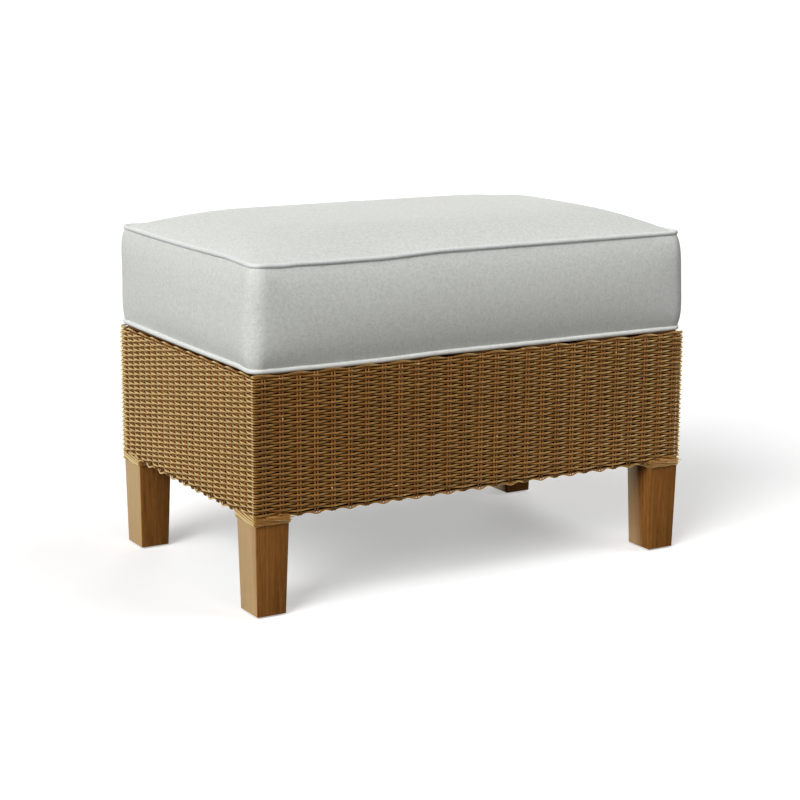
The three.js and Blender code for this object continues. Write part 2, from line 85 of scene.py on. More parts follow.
def leave_edit():
    bpy.ops.object.mode_set(mode="OBJECT")


def pick_faces(wanted):
    """In edit mode, selects the faces whose middle passes a test."""
    mesh = bmesh.from_edit_mesh(bpy.context.edit_object.data)
    bpy.ops.mesh.select_mode(type="FACE")
    bpy.ops.mesh.select_all(action="DESELECT")
    for face in mesh.faces:
        middle = sum((corner.co for corner in face.verts), Vector()) / len(face.verts)
        face.select_set(wanted(middle))
    mesh.select_flush_mode()
    bmesh.update_edit_mesh(bpy.context.edit_object.data)


def extrude(rise):
    """Raises the picked face, which looks up. An inset numbers its points alike each time."""
    bpy.ops.mesh.inset(thickness=0, depth=rise)


def block(low, high):
    """A cube from its lowest to its highest corner."""
    middle = [(a + b) / 2 for a, b in zip(low, high)]
    bpy.ops.mesh.primitive_cube_add(size=1, location=middle)
    made = bpy.context.active_object
    made.scale = [b - a for a, b in zip(low, high)]
    bpy.ops.object.transform_apply()
    return made


def apply(piece, kind, **settings):
    """Adds a modifier with its settings, and applies it."""
    modifier = piece.modifiers.new(kind, kind)
    for key, value in settings.items():
        setattr(modifier, key, value)
    only(piece)
    bpy.ops.object.modifier_apply(modifier=modifier.name)


def ease_edges(piece, width, segments=3):
    limit = {"limit_method": "ANGLE", "angle_limit": math.radians(30)}
    apply(piece, "BEVEL", width=width, segments=segments, **limit)
    bpy.ops.object.shade_smooth_by_angle(angle=math.radians(40))


def close_and_smooth(piece):
    edit(piece)
    bpy.ops.mesh.select_all(action="SELECT")
    bpy.ops.mesh.remove_doubles(threshold=1e-6)
    bpy.ops.mesh.normals_make_consistent(inside=False)
    leave_edit()
    bpy.ops.object.shade_smooth()


def add_object(name, data):
    made = bpy.data.objects.new(name, data)
    scene.collection.objects.link(made)
    return made


def copy_at(pattern, place):
    made = add_object(pattern.name, pattern.data.copy())
    made.data.transform(place)
    return made


def dress(piece, name, material, body, slot, *stands_for):
    """Names a finished piece, puts its place in its mesh, and ties it to its body."""
    only(piece)
    bpy.ops.object.transform_apply()
    piece.name = name
    piece.data.name = name
    piece.data.materials.clear()
    piece.data.materials.append(material)
    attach(piece, body)
    if stands_for:
        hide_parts(*stands_for)


def plug(made, **values):
    """Sets a node's sockets and options, by a link where the value is another node's socket."""
    for key, value in values.items():
        socket = made.inputs.get(key.replace("_", " "))
        if isinstance(value, bpy.types.NodeSocket):
            made.id_data.links.new(value, socket)
        elif socket is not None:
            socket.default_value = value
        else:
            setattr(made, key, value)
    return made


def node(tree, kind, **values):
    return plug(tree.nodes.new(kind), **values)


def new_material(name, **values):
    """A material, its tree and its shader, with values set on the shader's own sockets."""
    material = bpy.data.materials.new(name)
    material.use_nodes = True
    shader = material.node_tree.nodes["Principled BSDF"]
    return material, material.node_tree, plug(shader, **values)


def math_node(tree, operation, *values, clamp=False):
    made = node(tree, "ShaderNodeMath", operation=operation, use_clamp=clamp)
    for socket, value in zip(made.inputs, values):
        if isinstance(value, (int, float)):
            socket.default_value = value
        else:
            tree.links.new(value, socket)
    return made.outputs[0]


def noise_at(tree, vector, scale, detail, roughness=0.5):
    size = {"Scale": scale, "Detail": detail, "Roughness": roughness}
    return node(tree, "ShaderNodeTexNoise", Vector=vector, **size).outputs["Fac"]


def ramp(tree, source, stops):
    """A colour ramp on a value, its stops given as (place, linear colour)."""
    made = node(tree, "ShaderNodeValToRGB", Fac=source)
    elements = made.color_ramp.elements
    while len(elements) < len(stops):
        elements.new(0.5)
    for element, (place, color) in zip(elements, stops):
        element.position = place
        element.color = (*color, 1)
    return made.outputs["Color"]


def color_by(tree, shader, source, stops, share=None, other=None, blend_type="MIX"):
    """The base colour from a ramp, with another colour blended in by a share if there is one."""
    color = ramp(tree, source, stops)
    if share:
        kinds = {"data_type": "RGBA", "blend_type": blend_type}
        blend = node(tree, "ShaderNodeMix", Factor=share, **kinds)
        blend.inputs[7].default_value = (*other, 1)
        tree.links.new(color, blend.inputs[6])
        color = blend.outputs[2]
    plug(shader, Base_Color=color)


def roughen(tree, shader, source, rise, least):
    plug(shader, Roughness=math_node(tree, "MULTIPLY_ADD", source, rise, least))


def emboss(tree, shader, height, distance, strength):
    made = node(tree, "ShaderNodeBump", Height=height, Strength=strength, Distance=distance)
    plug(shader, Normal=made.outputs["Normal"])


def mapped(tree, scale=(1, 1, 1), turn=0.0):
    """Object coordinates, turned about Z and stretched, so that a pattern lies along a piece."""
    place = node(tree, "ShaderNodeTexCoord").outputs["Object"]
    mapping = node(tree, "ShaderNodeMapping", Vector=place, Scale=scale, Rotation=(0, 0, turn))
    return mapping.outputs["Vector"]


def group(name, inputs, outputs):
    """An empty shader group with named sockets, what comes into it, and its end node."""
    tree = bpy.data.node_groups.new(name, "ShaderNodeTree")
    for label in inputs:
        kind = "NodeSocketVector" if label == "Vector" else "NodeSocketFloat"
        tree.interface.new_socket(name=label, in_out="INPUT", socket_type=kind)
    for label in outputs:
        tree.interface.new_socket(name=label, in_out="OUTPUT", socket_type="NodeSocketFloat")
    return tree, node(tree, "NodeGroupInput").outputs, node(tree, "NodeGroupOutput")


def make_wood_grain():
    """Streaks, pores and height of straight-grained wood, its grain along the stretched axis."""
    tree, entry, result = group("straight_grain", ["Vector"], ["Streak", "Pore", "Height"])
    figure = noise_at(tree, entry["Vector"], 1.0, 5.0, 0.62)
    fibre = noise_at(tree, entry["Vector"], 5.5, 3.0, 0.55)
    pores = noise_at(tree, entry["Vector"], 11.0, 2.0)
    broad = math_node(tree, "MULTIPLY", figure, 0.6)
    streak = math_node(tree, "ADD", broad, math_node(tree, "MULTIPLY", fibre, 0.4))
    dark = math_node(tree, "SUBTRACT", pores, 0.56)
    pore = math_node(tree, "MULTIPLY", dark, 7.0, clamp=True)
    height = math_node(tree, "SUBTRACT", streak, math_node(tree, "MULTIPLY", pore, 0.35))
    plug(result, Streak=streak, Pore=pore, Height=height)
    return tree


wood_grain = make_wood_grain()


def low_gloss(tree, shader, start, rise):
    """An oily sheen that shows on a face seen at a low angle and hardly on one seen square."""
    facing = node(tree, "ShaderNodeLayerWeight", Blend=0.5)
    low = math_node(tree, "SUBTRACT", facing.outputs["Facing"], start)
    plug(shader, Specular_IOR_Level=math_node(tree, "MULTIPLY", low, rise, clamp=True))


LEG_TONES = [
    (0.34, (0.165, 0.067, 0.014)),
    (0.46, (0.270, 0.110, 0.026)),
    (0.56, (0.330, 0.137, 0.034)),
    (0.66, (0.410, 0.178, 0.048)),
]
PORE_SHADE = (0.62, 0.52, 0.44)
WARM_SHEEN = (1.0, 0.90, 0.50, 1)
OIL_START = 0.42
OIL_RISE = 8.0


def wood(name, scale, stops, roughness, turn=0.0, oiled=False, **values):
    """Wood with its grain along the axis that scale leaves long, in the colours of stops."""
    material, tree, shader = new_material(name, **values)
    vector = mapped(tree, scale, turn)
    grain = node(tree, "ShaderNodeGroup", node_tree=wood_grain, Vector=vector).outputs
    color_by(tree, shader, grain["Streak"], stops, grain["Pore"], PORE_SHADE, "MULTIPLY")
    roughen(tree, shader, grain["Streak"], 0.18, roughness)
    emboss(tree, shader, grain["Height"], 0.5 * MM, 0.6)
    if oiled:
        low_gloss(tree, shader, OIL_START, OIL_RISE)
    return material


leg_finish = wood(
    "oiled_leg_wood", (330, 330, 9), LEG_TONES, 0.30, oiled=True, IOR=2.2, Specular_Tint=WARM_SHEEN
)


def model_leg():
    """The leg of a corner whose outside is at the origin and whose inside lies towards +X +Y."""
    leg = block((LEG_NEAR, LEG_NEAR, LEG_FOOT), (LEG_FAR_X, LEG_FAR_Y, LEG_HEAD))
    taper = OUTER_TAPER + INNER_TAPER
    shift = (OUTER_TAPER - INNER_TAPER) / 2
    edit(leg)
    pick_faces(lambda place: place.z < LEG_FOOT + HAIR)
    shares = (1 - taper / LEG_SIZE_X, 1 - taper / LEG_SIZE_Y, 1)
    foot = (LEG_MIDDLE_X, LEG_MIDDLE_Y, LEG_FOOT)
    bpy.ops.transform.resize(value=shares, center_override=foot)
    bpy.ops.transform.translate(value=(shift, shift, 0))
    pick_faces(lambda place: place.z > LEG_HEAD - HAIR)
    extrude(POST_STEP - LEG_HEAD)
    extrude(0)
    shares = ((LEG_FAR_X - POST_NEAR) / LEG_SIZE_X, (LEG_FAR_Y - POST_NEAR) / LEG_SIZE_Y, 1)
    bpy.ops.transform.resize(value=shares, center_override=(LEG_FAR_X, LEG_FAR_Y, POST_STEP))
    extrude(POST_TOP - POST_STEP)
    leave_edit()
    ease_edges(leg, LEG_EDGE)
    return leg


leg_pattern = model_leg()
for corner, (way_x, way_y) in CORNERS.items():
    place = Matrix.Translation((way_x * SKIRT_HALF_X, way_y * SKIRT_HALF_Y, 0))
    leg = copy_at(leg_pattern, place @ Matrix.Diagonal((-way_x, -way_y, 1, 1)))
    if way_x * way_y < 0:
        leg.data.flip_normals()
    dress(leg, f"turned_out_leg_{corner}", leg_finish, "base", "leg_wood", f"leg_{corner}")
bpy.data.objects.remove(leg_pattern)

# Frame inside the skirt
# Rails tenoned into the posts, a brace with a bolt across each corner and a rail under the
# middle of the deck. Planed hardwood, left bare because the weave and the cushion hide it.
FRAME_TONES = [
    (0.28, (0.150, 0.066, 0.022)),
    (0.50, (0.270, 0.132, 0.048)),
    (0.72, (0.390, 0.215, 0.090)),
]
GRAIN_ALONG_X = (3.0, 80, 80)
GRAIN_ALONG_Y = (80, 3.0, 80)


def bare_wood(name, scale, roughness=0.55, turn=0.0):
    return wood(name, scale, FRAME_TONES, roughness, turn, Specular_IOR_Level=0.3)


def finish_nodes(material, *names):
    for name in names:
        for slot in nodes[name].material_slots:
            slot.material = material


for axis, scale, sides, others in (
    ("x", GRAIN_ALONG_X, ("front", "back"), ["centre_rail"]),
    ("y", GRAIN_ALONG_Y, ("left", "right"), []),
):
    rails = [f"{level}_rail_{side}" for level in ("top", "bottom") for side in sides]
    finish_nodes(bare_wood(f"bare_rail_along_{axis}", scale), *rails, *others)
for corner, (way_x, way_y) in CORNERS.items():
    brace = bare_wood(f"bare_brace_{corner}", GRAIN_ALONG_X, turn=math.radians(45 * way_x * way_y))
    finish_nodes(brace, f"corner_block_{corner}")


def clouded(name, cloud, stops, relief, scale=(1, 1, 1), dull=None, grit=None, **values):
    """A material with a noise in its colour and, if dull is given, in its roughness. The relief
    is of the same noise or of a finer grit."""
    material, tree, shader = new_material(name, **values)
    vector = mapped(tree, scale)
    fac = noise_at(tree, vector, *cloud)
    color_by(tree, shader, fac, stops)
    if dull:
        roughen(tree, shader, fac, *dull)
    emboss(tree, shader, noise_at(tree, vector, *grit) if grit else fac, *relief)
    return material


ZINC_TONES = [(0.35, (0.52, 0.53, 0.52)), (0.65, (0.70, 0.71, 0.70))]
zinc = clouded(
    "zinc_plated_steel", (420, 4), ZINC_TONES, (0.1 * MM, 0.4), dull=(0.2, 0.24), Metallic=1.0
)
finish_nodes(zinc, *(f"corner_bolt_{corner}" for corner in CORNERS))

# Glides
# A nylon disc under each foot, its stem driven into the end grain. Moulded, with a matt grain
# and scuffed where it slides.
NYLON_TONES = [(0.35, (0.020, 0.018, 0.016)), (0.75, (0.048, 0.043, 0.038))]
nylon = clouded(
    "dark_nylon", (140, 4), NYLON_TONES, (0.1 * MM, 0.5), dull=(0.25, 0.42), grit=(900, 3)
)
finish_nodes(nylon, *(f"glide_{corner}" for corner in CORNERS))

# Deck
# Seven slats laid from the front rail to the back rail with gaps for rain to run through,
# their edges rounded over, and two countersunk screws at each end.
SLAT_COUNT = 7
SLAT_WIDTH = 50 * MM
SLAT_THICKNESS = 8 * MM
SLAT_EDGE = 1.8 * MM
DECK_TOP = 318.5 * MM
SLAT_REACH_X = 330.7 * MM
SLAT_REACH_Y = 203.7 * MM
SLAT_PITCH = (2 * SLAT_REACH_X - SLAT_WIDTH) / (SLAT_COUNT - 1)
SCREW_DIAMETER = 7.5 * MM
SCREW_HEAD = 1.6 * MM
SCREW_SUNK = 0.4 * MM
SCREW_INSET_X = 13 * MM
SCREW_INSET_Y = 10 * MM


def model_slat():
    low = (-SLAT_WIDTH / 2, -SLAT_REACH_Y, DECK_TOP - SLAT_THICKNESS)
    slat = block(low, (SLAT_WIDTH / 2, SLAT_REACH_Y, DECK_TOP))
    ease_edges(slat, SLAT_EDGE)
    return slat


def model_screw():
    """A countersunk head with a square recess for the driver."""
    bpy.ops.mesh.primitive_cylinder_add(
        vertices=20,
        radius=SCREW_DIAMETER / 2,
        depth=SCREW_HEAD,
        location=(0, 0, DECK_TOP - SCREW_SUNK),
    )
    screw = bpy.context.active_object
    bpy.ops.object.transform_apply()
    edit(screw)
    pick_faces(lambda place: place.z > DECK_TOP - SCREW_SUNK + SCREW_HEAD / 2 - HAIR)
    bpy.ops.mesh.inset(thickness=0.5 * MM, depth=0.15 * MM)
    bpy.ops.mesh.inset(thickness=1.6 * MM)
    extrude(-0.9 * MM)
    leave_edit()
    bpy.ops.object.shade_smooth_by_angle(angle=math.radians(35))
    return screw


def join(parts):
    only(*parts)
    bpy.ops.object.join()
    return parts[0]


slat_finish = bare_wood("bare_deck_slat", GRAIN_ALONG_Y, 0.52)
slat_pattern = model_slat()
screw_pattern = model_screw()
for index in range(SLAT_COUNT):
    x = -SLAT_REACH_X + SLAT_WIDTH / 2 + index * SLAT_PITCH
    slat = copy_at(slat_pattern, Matrix.Translation((x, 0, 0)))
    name = f"deck_slat_{index + 1}"
    dress(slat, f"rounded_{name}", slat_finish, "base", "frame_wood", name)
    heads = []
    for way_x, way_y in CORNERS.values():
        across = x + way_x * (SLAT_WIDTH / 2 - SCREW_INSET_X)
        along = way_y * (SLAT_REACH_Y - SCREW_INSET_Y)
        heads.append(copy_at(screw_pattern, Matrix.Translation((across, along, 0))))
    dress(join(heads), f"deck_screws_{index + 1}", zinc, "base", "bolt_steel")
bpy.data.objects.remove(slat_pattern)
bpy.data.objects.remove(screw_pattern)

# Woven skirt
# Round resin cane in plain weave, one cane at a time over a pair of stakes and behind the
# next pair, with every other course the other way. The canes run on round the corners.
CANE = 2.25 * MM
STAKE = 2.5 * MM
STAKE_GAP = 4.2 * MM
STAKE_TAPER = 0.72
FIRST_PAIR = 16 * MM
LONG_PAIRS = 27
SHORT_PAIRS = 21
SIDES = {
    "front": (0.0, SKIRT_HALF_X, SKIRT_HALF_Y, LONG_PAIRS, 1),
    "right": (QUARTER, SKIRT_HALF_Y, SKIRT_HALF_X, SHORT_PAIRS, -1),
    "back": (math.pi, SKIRT_HALF_X, SKIRT_HALF_Y, LONG_PAIRS, 1),
    "left": (-QUARTER, SKIRT_HALF_Y, SKIRT_HALF_X, SHORT_PAIRS, -1),
}
STAKE_PLANE = 3.7 * MM
CORNER_RADIUS = 5.5 * MM
WEAVE_BOTTOM = 136.2 * MM
WEAVE_TOP = 313.3 * MM
COURSES = 52
COURSE_PITCH = (WEAVE_TOP - WEAVE_BOTTOM) / COURSES
SWING = (STAKE + CANE) / 2 - 0.35 * MM
STEPS_PER_PAIR = 7
STEPS_PER_BEND = 6
STEPS_PER_STAKE = 12
CORNER_SWINGS = (1.3 * SWING, 0.6 * SWING)
STAKE_FOOT = 130.3 * MM
STAKE_TIP = 316.6 * MM
# The stakes' tone is centred low: painted shade, for the stakes that stand back behind the canes.
STAKE_PAINTED_SHADE = 0.22
# The board behind the weave is near black: painted shade for the dark inside of the skirt, seen
# through the gaps between canes.
SHADE_BOARD_PLACE = 8.0 * MM
SHADE_BOARD_THICKNESS = 0.7 * MM
SHADE_BOARD_BOTTOM = 131.6 * MM
SHADE_BOARD_TOP = 316.5 * MM
CANE_TONES = [
    (0.28, (0.175, 0.069, 0.014)),
    (0.44, (0.280, 0.116, 0.024)),
    (0.56, (0.340, 0.148, 0.034)),
    (0.72, (0.430, 0.200, 0.052)),
]
FLECK_TONE = (0.66, 0.40, 0.18)
CANE_START = 0.30
CANE_RISE = 5.5
WEATHER_SEED = 7


def make_cane_grain():
    """Tone, flecks and height of drawn resin cane, its fine lines along the stretched axis."""
    tree, entry, result = group("drawn_cane", ["Vector", "Tone"], ["Shade", "Fleck", "Height"])
    lines = noise_at(tree, entry["Vector"], 1.0, 4.0, 0.6)
    place = node(tree, "ShaderNodeTexCoord").outputs["Object"]
    knots = node(tree, "ShaderNodeTexVoronoi", Vector=place, Scale=48.0)
    near = math_node(tree, "SUBTRACT", 0.105, knots.outputs["Distance"])
    fleck = math_node(tree, "MULTIPLY", near, 22.0, clamp=True)
    streak = math_node(tree, "MULTIPLY", lines, 0.55)
    shade = math_node(tree, "ADD", streak, math_node(tree, "MULTIPLY", entry["Tone"], 0.45))
    plug(result, Shade=shade, Fleck=fleck, Height=lines)
    return tree


cane_grain = make_cane_grain()


def cane_finish(name, scale, glossy, **values):
    material, tree, shader = new_material(name, **values)
    tone = node(tree, "ShaderNodeAttribute", attribute_name="tone").outputs["Fac"]
    along = {"Vector": mapped(tree, scale), "Tone": tone}
    grain = node(tree, "ShaderNodeGroup", node_tree=cane_grain, **along).outputs
    color_by(tree, shader, grain["Shade"], CANE_TONES, grain["Fleck"], FLECK_TONE)
    roughen(tree, shader, grain["Shade"], 0.2, 0.30)
    emboss(tree, shader, grain["Height"], 0.3 * MM, 0.5)
    if glossy:
        low_gloss(tree, shader, CANE_START, CANE_RISE)
    return material


lying_cane = cane_finish(
    "resin_cane_lying", (28, 28, 850), True, IOR=3.2, Specular_Tint=WARM_SHEEN
)
standing_cane = cane_finish(
    "resin_cane_standing", (850, 850, 28), False, Specular_IOR_Level=0.2
)
# Near-black tones for the board behind the weave: painted shade.
SHADE_BOARD_TONES = [(0.3, (0.010, 0.005, 0.002)), (0.7, (0.026, 0.013, 0.006))]
shade_board_finish = clouded(
    "painted_shade_board", (700, 4, 0.7), SHADE_BOARD_TONES, (0.4 * MM, 0.6),
    Roughness=0.95, Specular_IOR_Level=0.0,
)


def lay_canes(name, runs, diameter, upright=False):
    """Canes as round tubes along runs of points; a run is (points, radius share at each)."""
    curve = bpy.data.curves.new(name, "CURVE")
    curve.dimensions = "3D"
    curve.bevel_depth = diameter / 2
    curve.bevel_resolution = 2
    curve.use_fill_caps = True
    curve.twist_mode = "MINIMUM" if upright else "Z_UP"
    for points, shares in runs:
        spline = curve.splines.new("POLY")
        spline.points.add(len(points) - 1)
        for spot, place, share in zip(spline.points, points, shares):
            spot.co = (*place, 1)
            spot.radius = share
    only(add_object(name, curve))
    bpy.ops.object.convert(target="MESH")
    canes = bpy.context.active_object
    close_and_smooth(canes)
    return canes


def even(points):
    return points, [1.0] * len(points)


def pair_places(half, pairs):
    first = half - FIRST_PAIR
    return [-first + 2 * first * index / (pairs - 1) for index in range(pairs)]


def course_run(half, across, pairs, phase, out_of, rise_of, corner_out, corner_rise=0.0):
    """One cane along a side, from the middle of one corner to the middle of the next.
    out_of and rise_of give its place out of the stakes and its height for a turn of the wave.
    Every cane lies on the outside where it rounds a corner, by corner_out."""
    places = pair_places(half, pairs)
    pitch = places[1] - places[0]
    bend = (CORNER_RADIUS - STAKE_PLANE) * math.pi / 4
    lead = half - CORNER_RADIUS - places[-1] + bend
    first_turn = 0 if phase > 0 else math.pi

    def round_corner(way, turn):
        """The cane from the middle of a corner to the side, in front of a turn or past it."""
        points = []
        for step in range(STEPS_PER_BEND + 1):
            angle = (1 - step / STEPS_PER_BEND) * math.pi / 4
            run = bend * step / STEPS_PER_BEND
            hug = math.cos(QUARTER * run / lead) ** 2
            spin = turn + way * QUARTER * (1 - run / lead)
            out = out_of(spin) * (1 - hug) + corner_out * hug
            reach = CORNER_RADIUS - STAKE_PLANE + out
            x = half - CORNER_RADIUS + reach * math.sin(angle)
            y = -(across - CORNER_RADIUS) - reach * math.cos(angle)
            points.append(Vector((way * x, y, rise_of(spin) + corner_rise * hug)))
        return points

    points = round_corner(-1, first_turn)
    for step in range((pairs - 1) * STEPS_PER_PAIR + 1):
        spin = first_turn + math.pi * step / STEPS_PER_PAIR
        x = places[0] + pitch * step / STEPS_PER_PAIR
        points.append(Vector((x, -(across - STAKE_PLANE) - out_of(spin), rise_of(spin))))
    return points + round_corner(1, first_turn + math.pi * (pairs - 1))[::-1]


def weave_out(turn):
    return SWING * math.cos(turn)


def face_side(piece, side):
    piece.data.transform(Matrix.Rotation(SIDES[side][0], 4, "Z"))


# Without a seed this noise starts from the clock, and the canes would lie anew each time.
noise.seed_set(WEATHER_SEED)


def weather(piece, course_of, amount, tone_seed, middle=0.5):
    """Hand-laid unevenness, and a tone for each stretch of cane, from noise over its length."""
    mesh = piece.data
    count = len(mesh.vertices)
    places = np.empty(count * 3)
    mesh.vertices.foreach_get("co", places)
    places = places.reshape(-1, 3)
    courses = course_of(places)
    tones = np.empty(count)
    for index in range(count):
        x, y, z = places[index]
        row = float(courses[index]) * 3.17 + tone_seed
        slow = noise.noise_vector(Vector((x * 21, y * 21, row)))
        places[index] += amount * np.array(slow)
        patch = noise.noise(Vector((x * 9, y * 9, row + 40.0)))
        strand = noise.noise(Vector((row * 2.3, 7.1, 0.4)))
        tones[index] = middle + 0.32 * patch + 0.26 * strand
    mesh.vertices.foreach_set("co", places.ravel())
    tone = mesh.attributes.new("tone", "FLOAT", "POINT")
    tone.data.foreach_set("value", np.clip(tones, 0, 1))
    mesh.update()


def model_weave(side):
    _, half, across, pairs, phase = SIDES[side]
    parts = []
    for first, way in ((0, phase), (1, -phase)):
        z = WEAVE_BOTTOM + (first + 0.5) * COURSE_PITCH
        run = course_run(half, across, pairs, way, weave_out, lambda _: z, CORNER_SWINGS[first])
        part = lay_canes("course", [even(run)], CANE)
        steps = {"use_relative_offset": False, "use_constant_offset": True}
        steps["constant_offset_displace"] = (0, 0, 2 * COURSE_PITCH)
        apply(part, "ARRAY", count=(COURSES - first + 1) // 2, **steps)
        parts.append(part)
    weave = join(parts)
    face_side(weave, side)
    course_of = lambda places: np.round((places[:, 2] - WEAVE_BOTTOM) / COURSE_PITCH - 0.5)
    weather(weave, course_of, 0.16 * MM, 0.0)
    return weave


def model_stakes(side):
    _, half, across, pairs, _ = SIDES[side]
    runs = []
    for x in pair_places(half, pairs):
        for way in (-0.5, 0.5):
            points = []
            for step in range(STEPS_PER_STAKE + 1):
                z = STAKE_FOOT + (STAKE_TIP - STAKE_FOOT) * step / STEPS_PER_STAKE
                points.append(Vector((x + way * STAKE_GAP, -(across - STAKE_PLANE), z)))
            shares = [STAKE_TAPER] + [1.0] * (STEPS_PER_STAKE - 1) + [STAKE_TAPER]
            runs.append((points, shares))
    stakes = lay_canes("stakes", runs, STAKE, upright=True)
    face_side(stakes, side)
    stake_of = lambda places: np.round((places[:, 0] + places[:, 1]) / STAKE_GAP)
    # The stakes take tones centred low: painted shade.
    weather(stakes, stake_of, 0.18 * MM, 60.0, middle=STAKE_PAINTED_SHADE)
    return stakes


def model_shade_board(side):
    """A thin near-black board behind the weave of one side, which stops the light between canes:
    painted shade for the dark inside of the skirt.
    """
    _, half, across, _, _ = SIDES[side]
    end, y = half - SHADE_BOARD_PLACE, SHADE_BOARD_PLACE - across
    low = (-end, y - SHADE_BOARD_THICKNESS / 2, SHADE_BOARD_BOTTOM)
    board = block(low, (end, y + SHADE_BOARD_THICKNESS / 2, SHADE_BOARD_TOP))
    edit(board)
    pick_faces(lambda place: abs(abs(place.x) - end) < HAIR)
    bpy.ops.mesh.inset(thickness=0.05 * MM)
    leave_edit()
    face_side(board, side)
    return board


for side in SIDES:
    for name, model, finish in (
        ("cane_courses", model_weave, lying_cane),
        ("stake_pairs", model_stakes, standing_cane),
        ("skirt_lining", model_shade_board, shade_board_finish),
    ):
        dress(model(side), f"{name}_{side}", finish, "base", "cane", f"woven_panel_{side}")

# Borders of the skirt
# The stakes' ends are turned over and woven off. Along the top they stand in arches over
# every other pair, and along the bottom they hang in a row of small lobes.
ARCH = 1.7 * MM
ARCH_MIDDLE = 315.9 * MM
ARCH_CORNER = 1.5 * MM
LOBE = 1.4 * MM
LOBE_MIDDLE = 132.05 * MM
BACKING_PLACE = 2.3 * MM
TOP_BACKING = 314.4 * MM
TOP_BACKING_CORNER = 0.9 * MM
BOTTOM_BACKING = 132.9 * MM


def backing_out(_):
    return -BACKING_PLACE


def arched_strands(side):
    """The strand that arches outside every other pair, and a plain one that backs it."""
    arch_rise = lambda turn: ARCH_MIDDLE + ARCH * math.cos(turn)
    return [
        even(course_run(*SIDES[side][1:], out_of, rise_of, CORNER_SWINGS[1], corner_rise))
        for out_of, rise_of, corner_rise in (
            (weave_out, arch_rise, ARCH_CORNER),
            (backing_out, lambda _: TOP_BACKING, TOP_BACKING_CORNER),
        )
    ]


def lobed_strands(side):
    """The strand that dips under each pair, and a plain one that backs it, between two legs."""
    _, half, across, pairs, phase = SIDES[side]
    leg_far = LEG_FAR_X if half == SKIRT_HALF_X else LEG_FAR_Y
    lobe_rise = lambda turn: LOBE_MIDDLE - LOBE * math.cos(2 * turn)
    runs = []
    for out_of, rise_of in ((weave_out, lobe_rise), (backing_out, lambda _: BOTTOM_BACKING)):
        run = course_run(half, across, pairs, -phase, out_of, rise_of, 0.0)
        runs.append(even([place for place in run if abs(place.x) < half - leg_far + 1 * MM]))
    return runs


for side in SIDES:
    for level, form, strands_of, row, amount, seed in (
        ("top", "arched", arched_strands, 7, 0.3 * MM, 90.0),
        ("bottom", "lobed", lobed_strands, 3, 0.25 * MM, 130.0),
    ):
        border = lay_canes("border", strands_of(side), CANE)
        face_side(border, side)
        weather(border, lambda places: np.zeros(len(places)) + row, amount, seed)
        name = f"{form}_border_{side}"
        dress(border, name, lying_cane, "base", "cane", f"{level}_border_{side}")

# Bindings of the legs
# Where the bottom border meets a leg its strands are wound on round the leg's head, slanting
# down side by side, and end in cut points. On the front legs two points stick out past an edge.
BINDING = 2.6 * MM
BINDING_STARTS = 9
BINDING_STEPS = 46
BINDING_SHARE = 0.45
BINDING_TOP = 136.2 * MM
BINDING_END = 124.2 * MM
BINDING_BEND = 1.2 * MM
BINDING_TIP = 9 * MM
BINDING_RELIEF = 0.45 * MM
LOOSE_ENDS = (
    (-10 * MM, 7.6 * MM, 133.6 * MM, 130.4 * MM, 2.3 * MM),
    (2 * MM, 4.0 * MM, 130.6 * MM, 127.6 * MM, 2.7 * MM),
)
LOOSE_STEPS = 16


def round_the_leg(distance, out):
    """A point at a distance along the outline of a leg's head, run anticlockwise from above."""
    bend = BINDING_BEND + out
    flats = (LEG_SIZE_X - 2 * BINDING_BEND, LEG_SIZE_Y - 2 * BINDING_BEND)
    reaches = (LEG_SIZE_Y / 2 + out, LEG_SIZE_X / 2 + out)
    arc = QUARTER * bend
    run = distance % (2 * sum(flats) + 4 * arc)
    quarter = 0
    while run >= flats[quarter % 2] + arc:
        run -= flats[quarter % 2] + arc
        quarter += 1
    flat, reach = flats[quarter % 2], reaches[quarter % 2]
    if run < flat:
        place = Vector((-flat / 2 + run, -reach, 0))
    else:
        angle = (run - flat) / bend
        across = flat / 2 + bend * math.sin(angle)
        place = Vector((across, -reach + bend - bend * math.cos(angle), 0))
    place.rotate(Matrix.Rotation(QUARTER * quarter, 3, "Z"))
    return place


def cut_point(share, begins, thin):
    """The radius share of a strand that is cut to a point over the last of its length."""
    return 1.0 if share < begins else 1.0 - (1 - thin) * (share - begins) / (1 - begins)


def binding_runs():
    around = 2 * (LEG_SIZE_X + LEG_SIZE_Y - 4 * BINDING_BEND)
    around += 2 * math.pi * (BINDING_BEND + BINDING / 2)
    length = BINDING_SHARE * around
    runs = []
    for start in range(BINDING_STARTS):
        begin = around * start / BINDING_STARTS + BINDING_TIP - length
        points, shares = [], []
        for step in range(BINDING_STEPS + 1):
            share = step / BINDING_STEPS
            tuck = max(0.0, 1 - share / 0.12) - 0.5 * max(0.0, share - 0.8) / 0.2
            out = BINDING / 2 - 0.9 * MM * tuck + BINDING_RELIEF * math.sin(2.9 * start)
            place = round_the_leg(begin + length * share, out)
            fall = 1 - (1 - share) ** 1.4
            ripple = 0.3 * MM * math.sin(7.0 * share + 2.1 * start)
            place.z = BINDING_TOP - (BINDING_TOP - BINDING_END) * fall + ripple
            points.append(place)
            shares.append(cut_point(share, 0.88, 0.25))
        runs.append((points, shares))
    return runs


def loose_ends():
    """Two pointed ends that run along the front of the head and out past its right edge."""
    runs = []
    for begin_x, end_x, begin_z, end_z, out in LOOSE_ENDS:
        begin = Vector((begin_x, -LEG_SIZE_Y / 2 - out, begin_z))
        end = Vector((LEG_SIZE_X / 2 + end_x, -LEG_SIZE_Y / 2 - 0.8 * out, end_z))
        points, shares = [], []
        for step in range(LOOSE_STEPS + 1):
            share = step / LOOSE_STEPS
            bow = 0.5 * MM * math.sin(math.pi * share)
            points.append(begin.lerp(end, share) + Vector((0, -bow, 0)))
            shares.append(cut_point(share, 0.74, 0.15))
        runs.append((points, shares))
    return runs


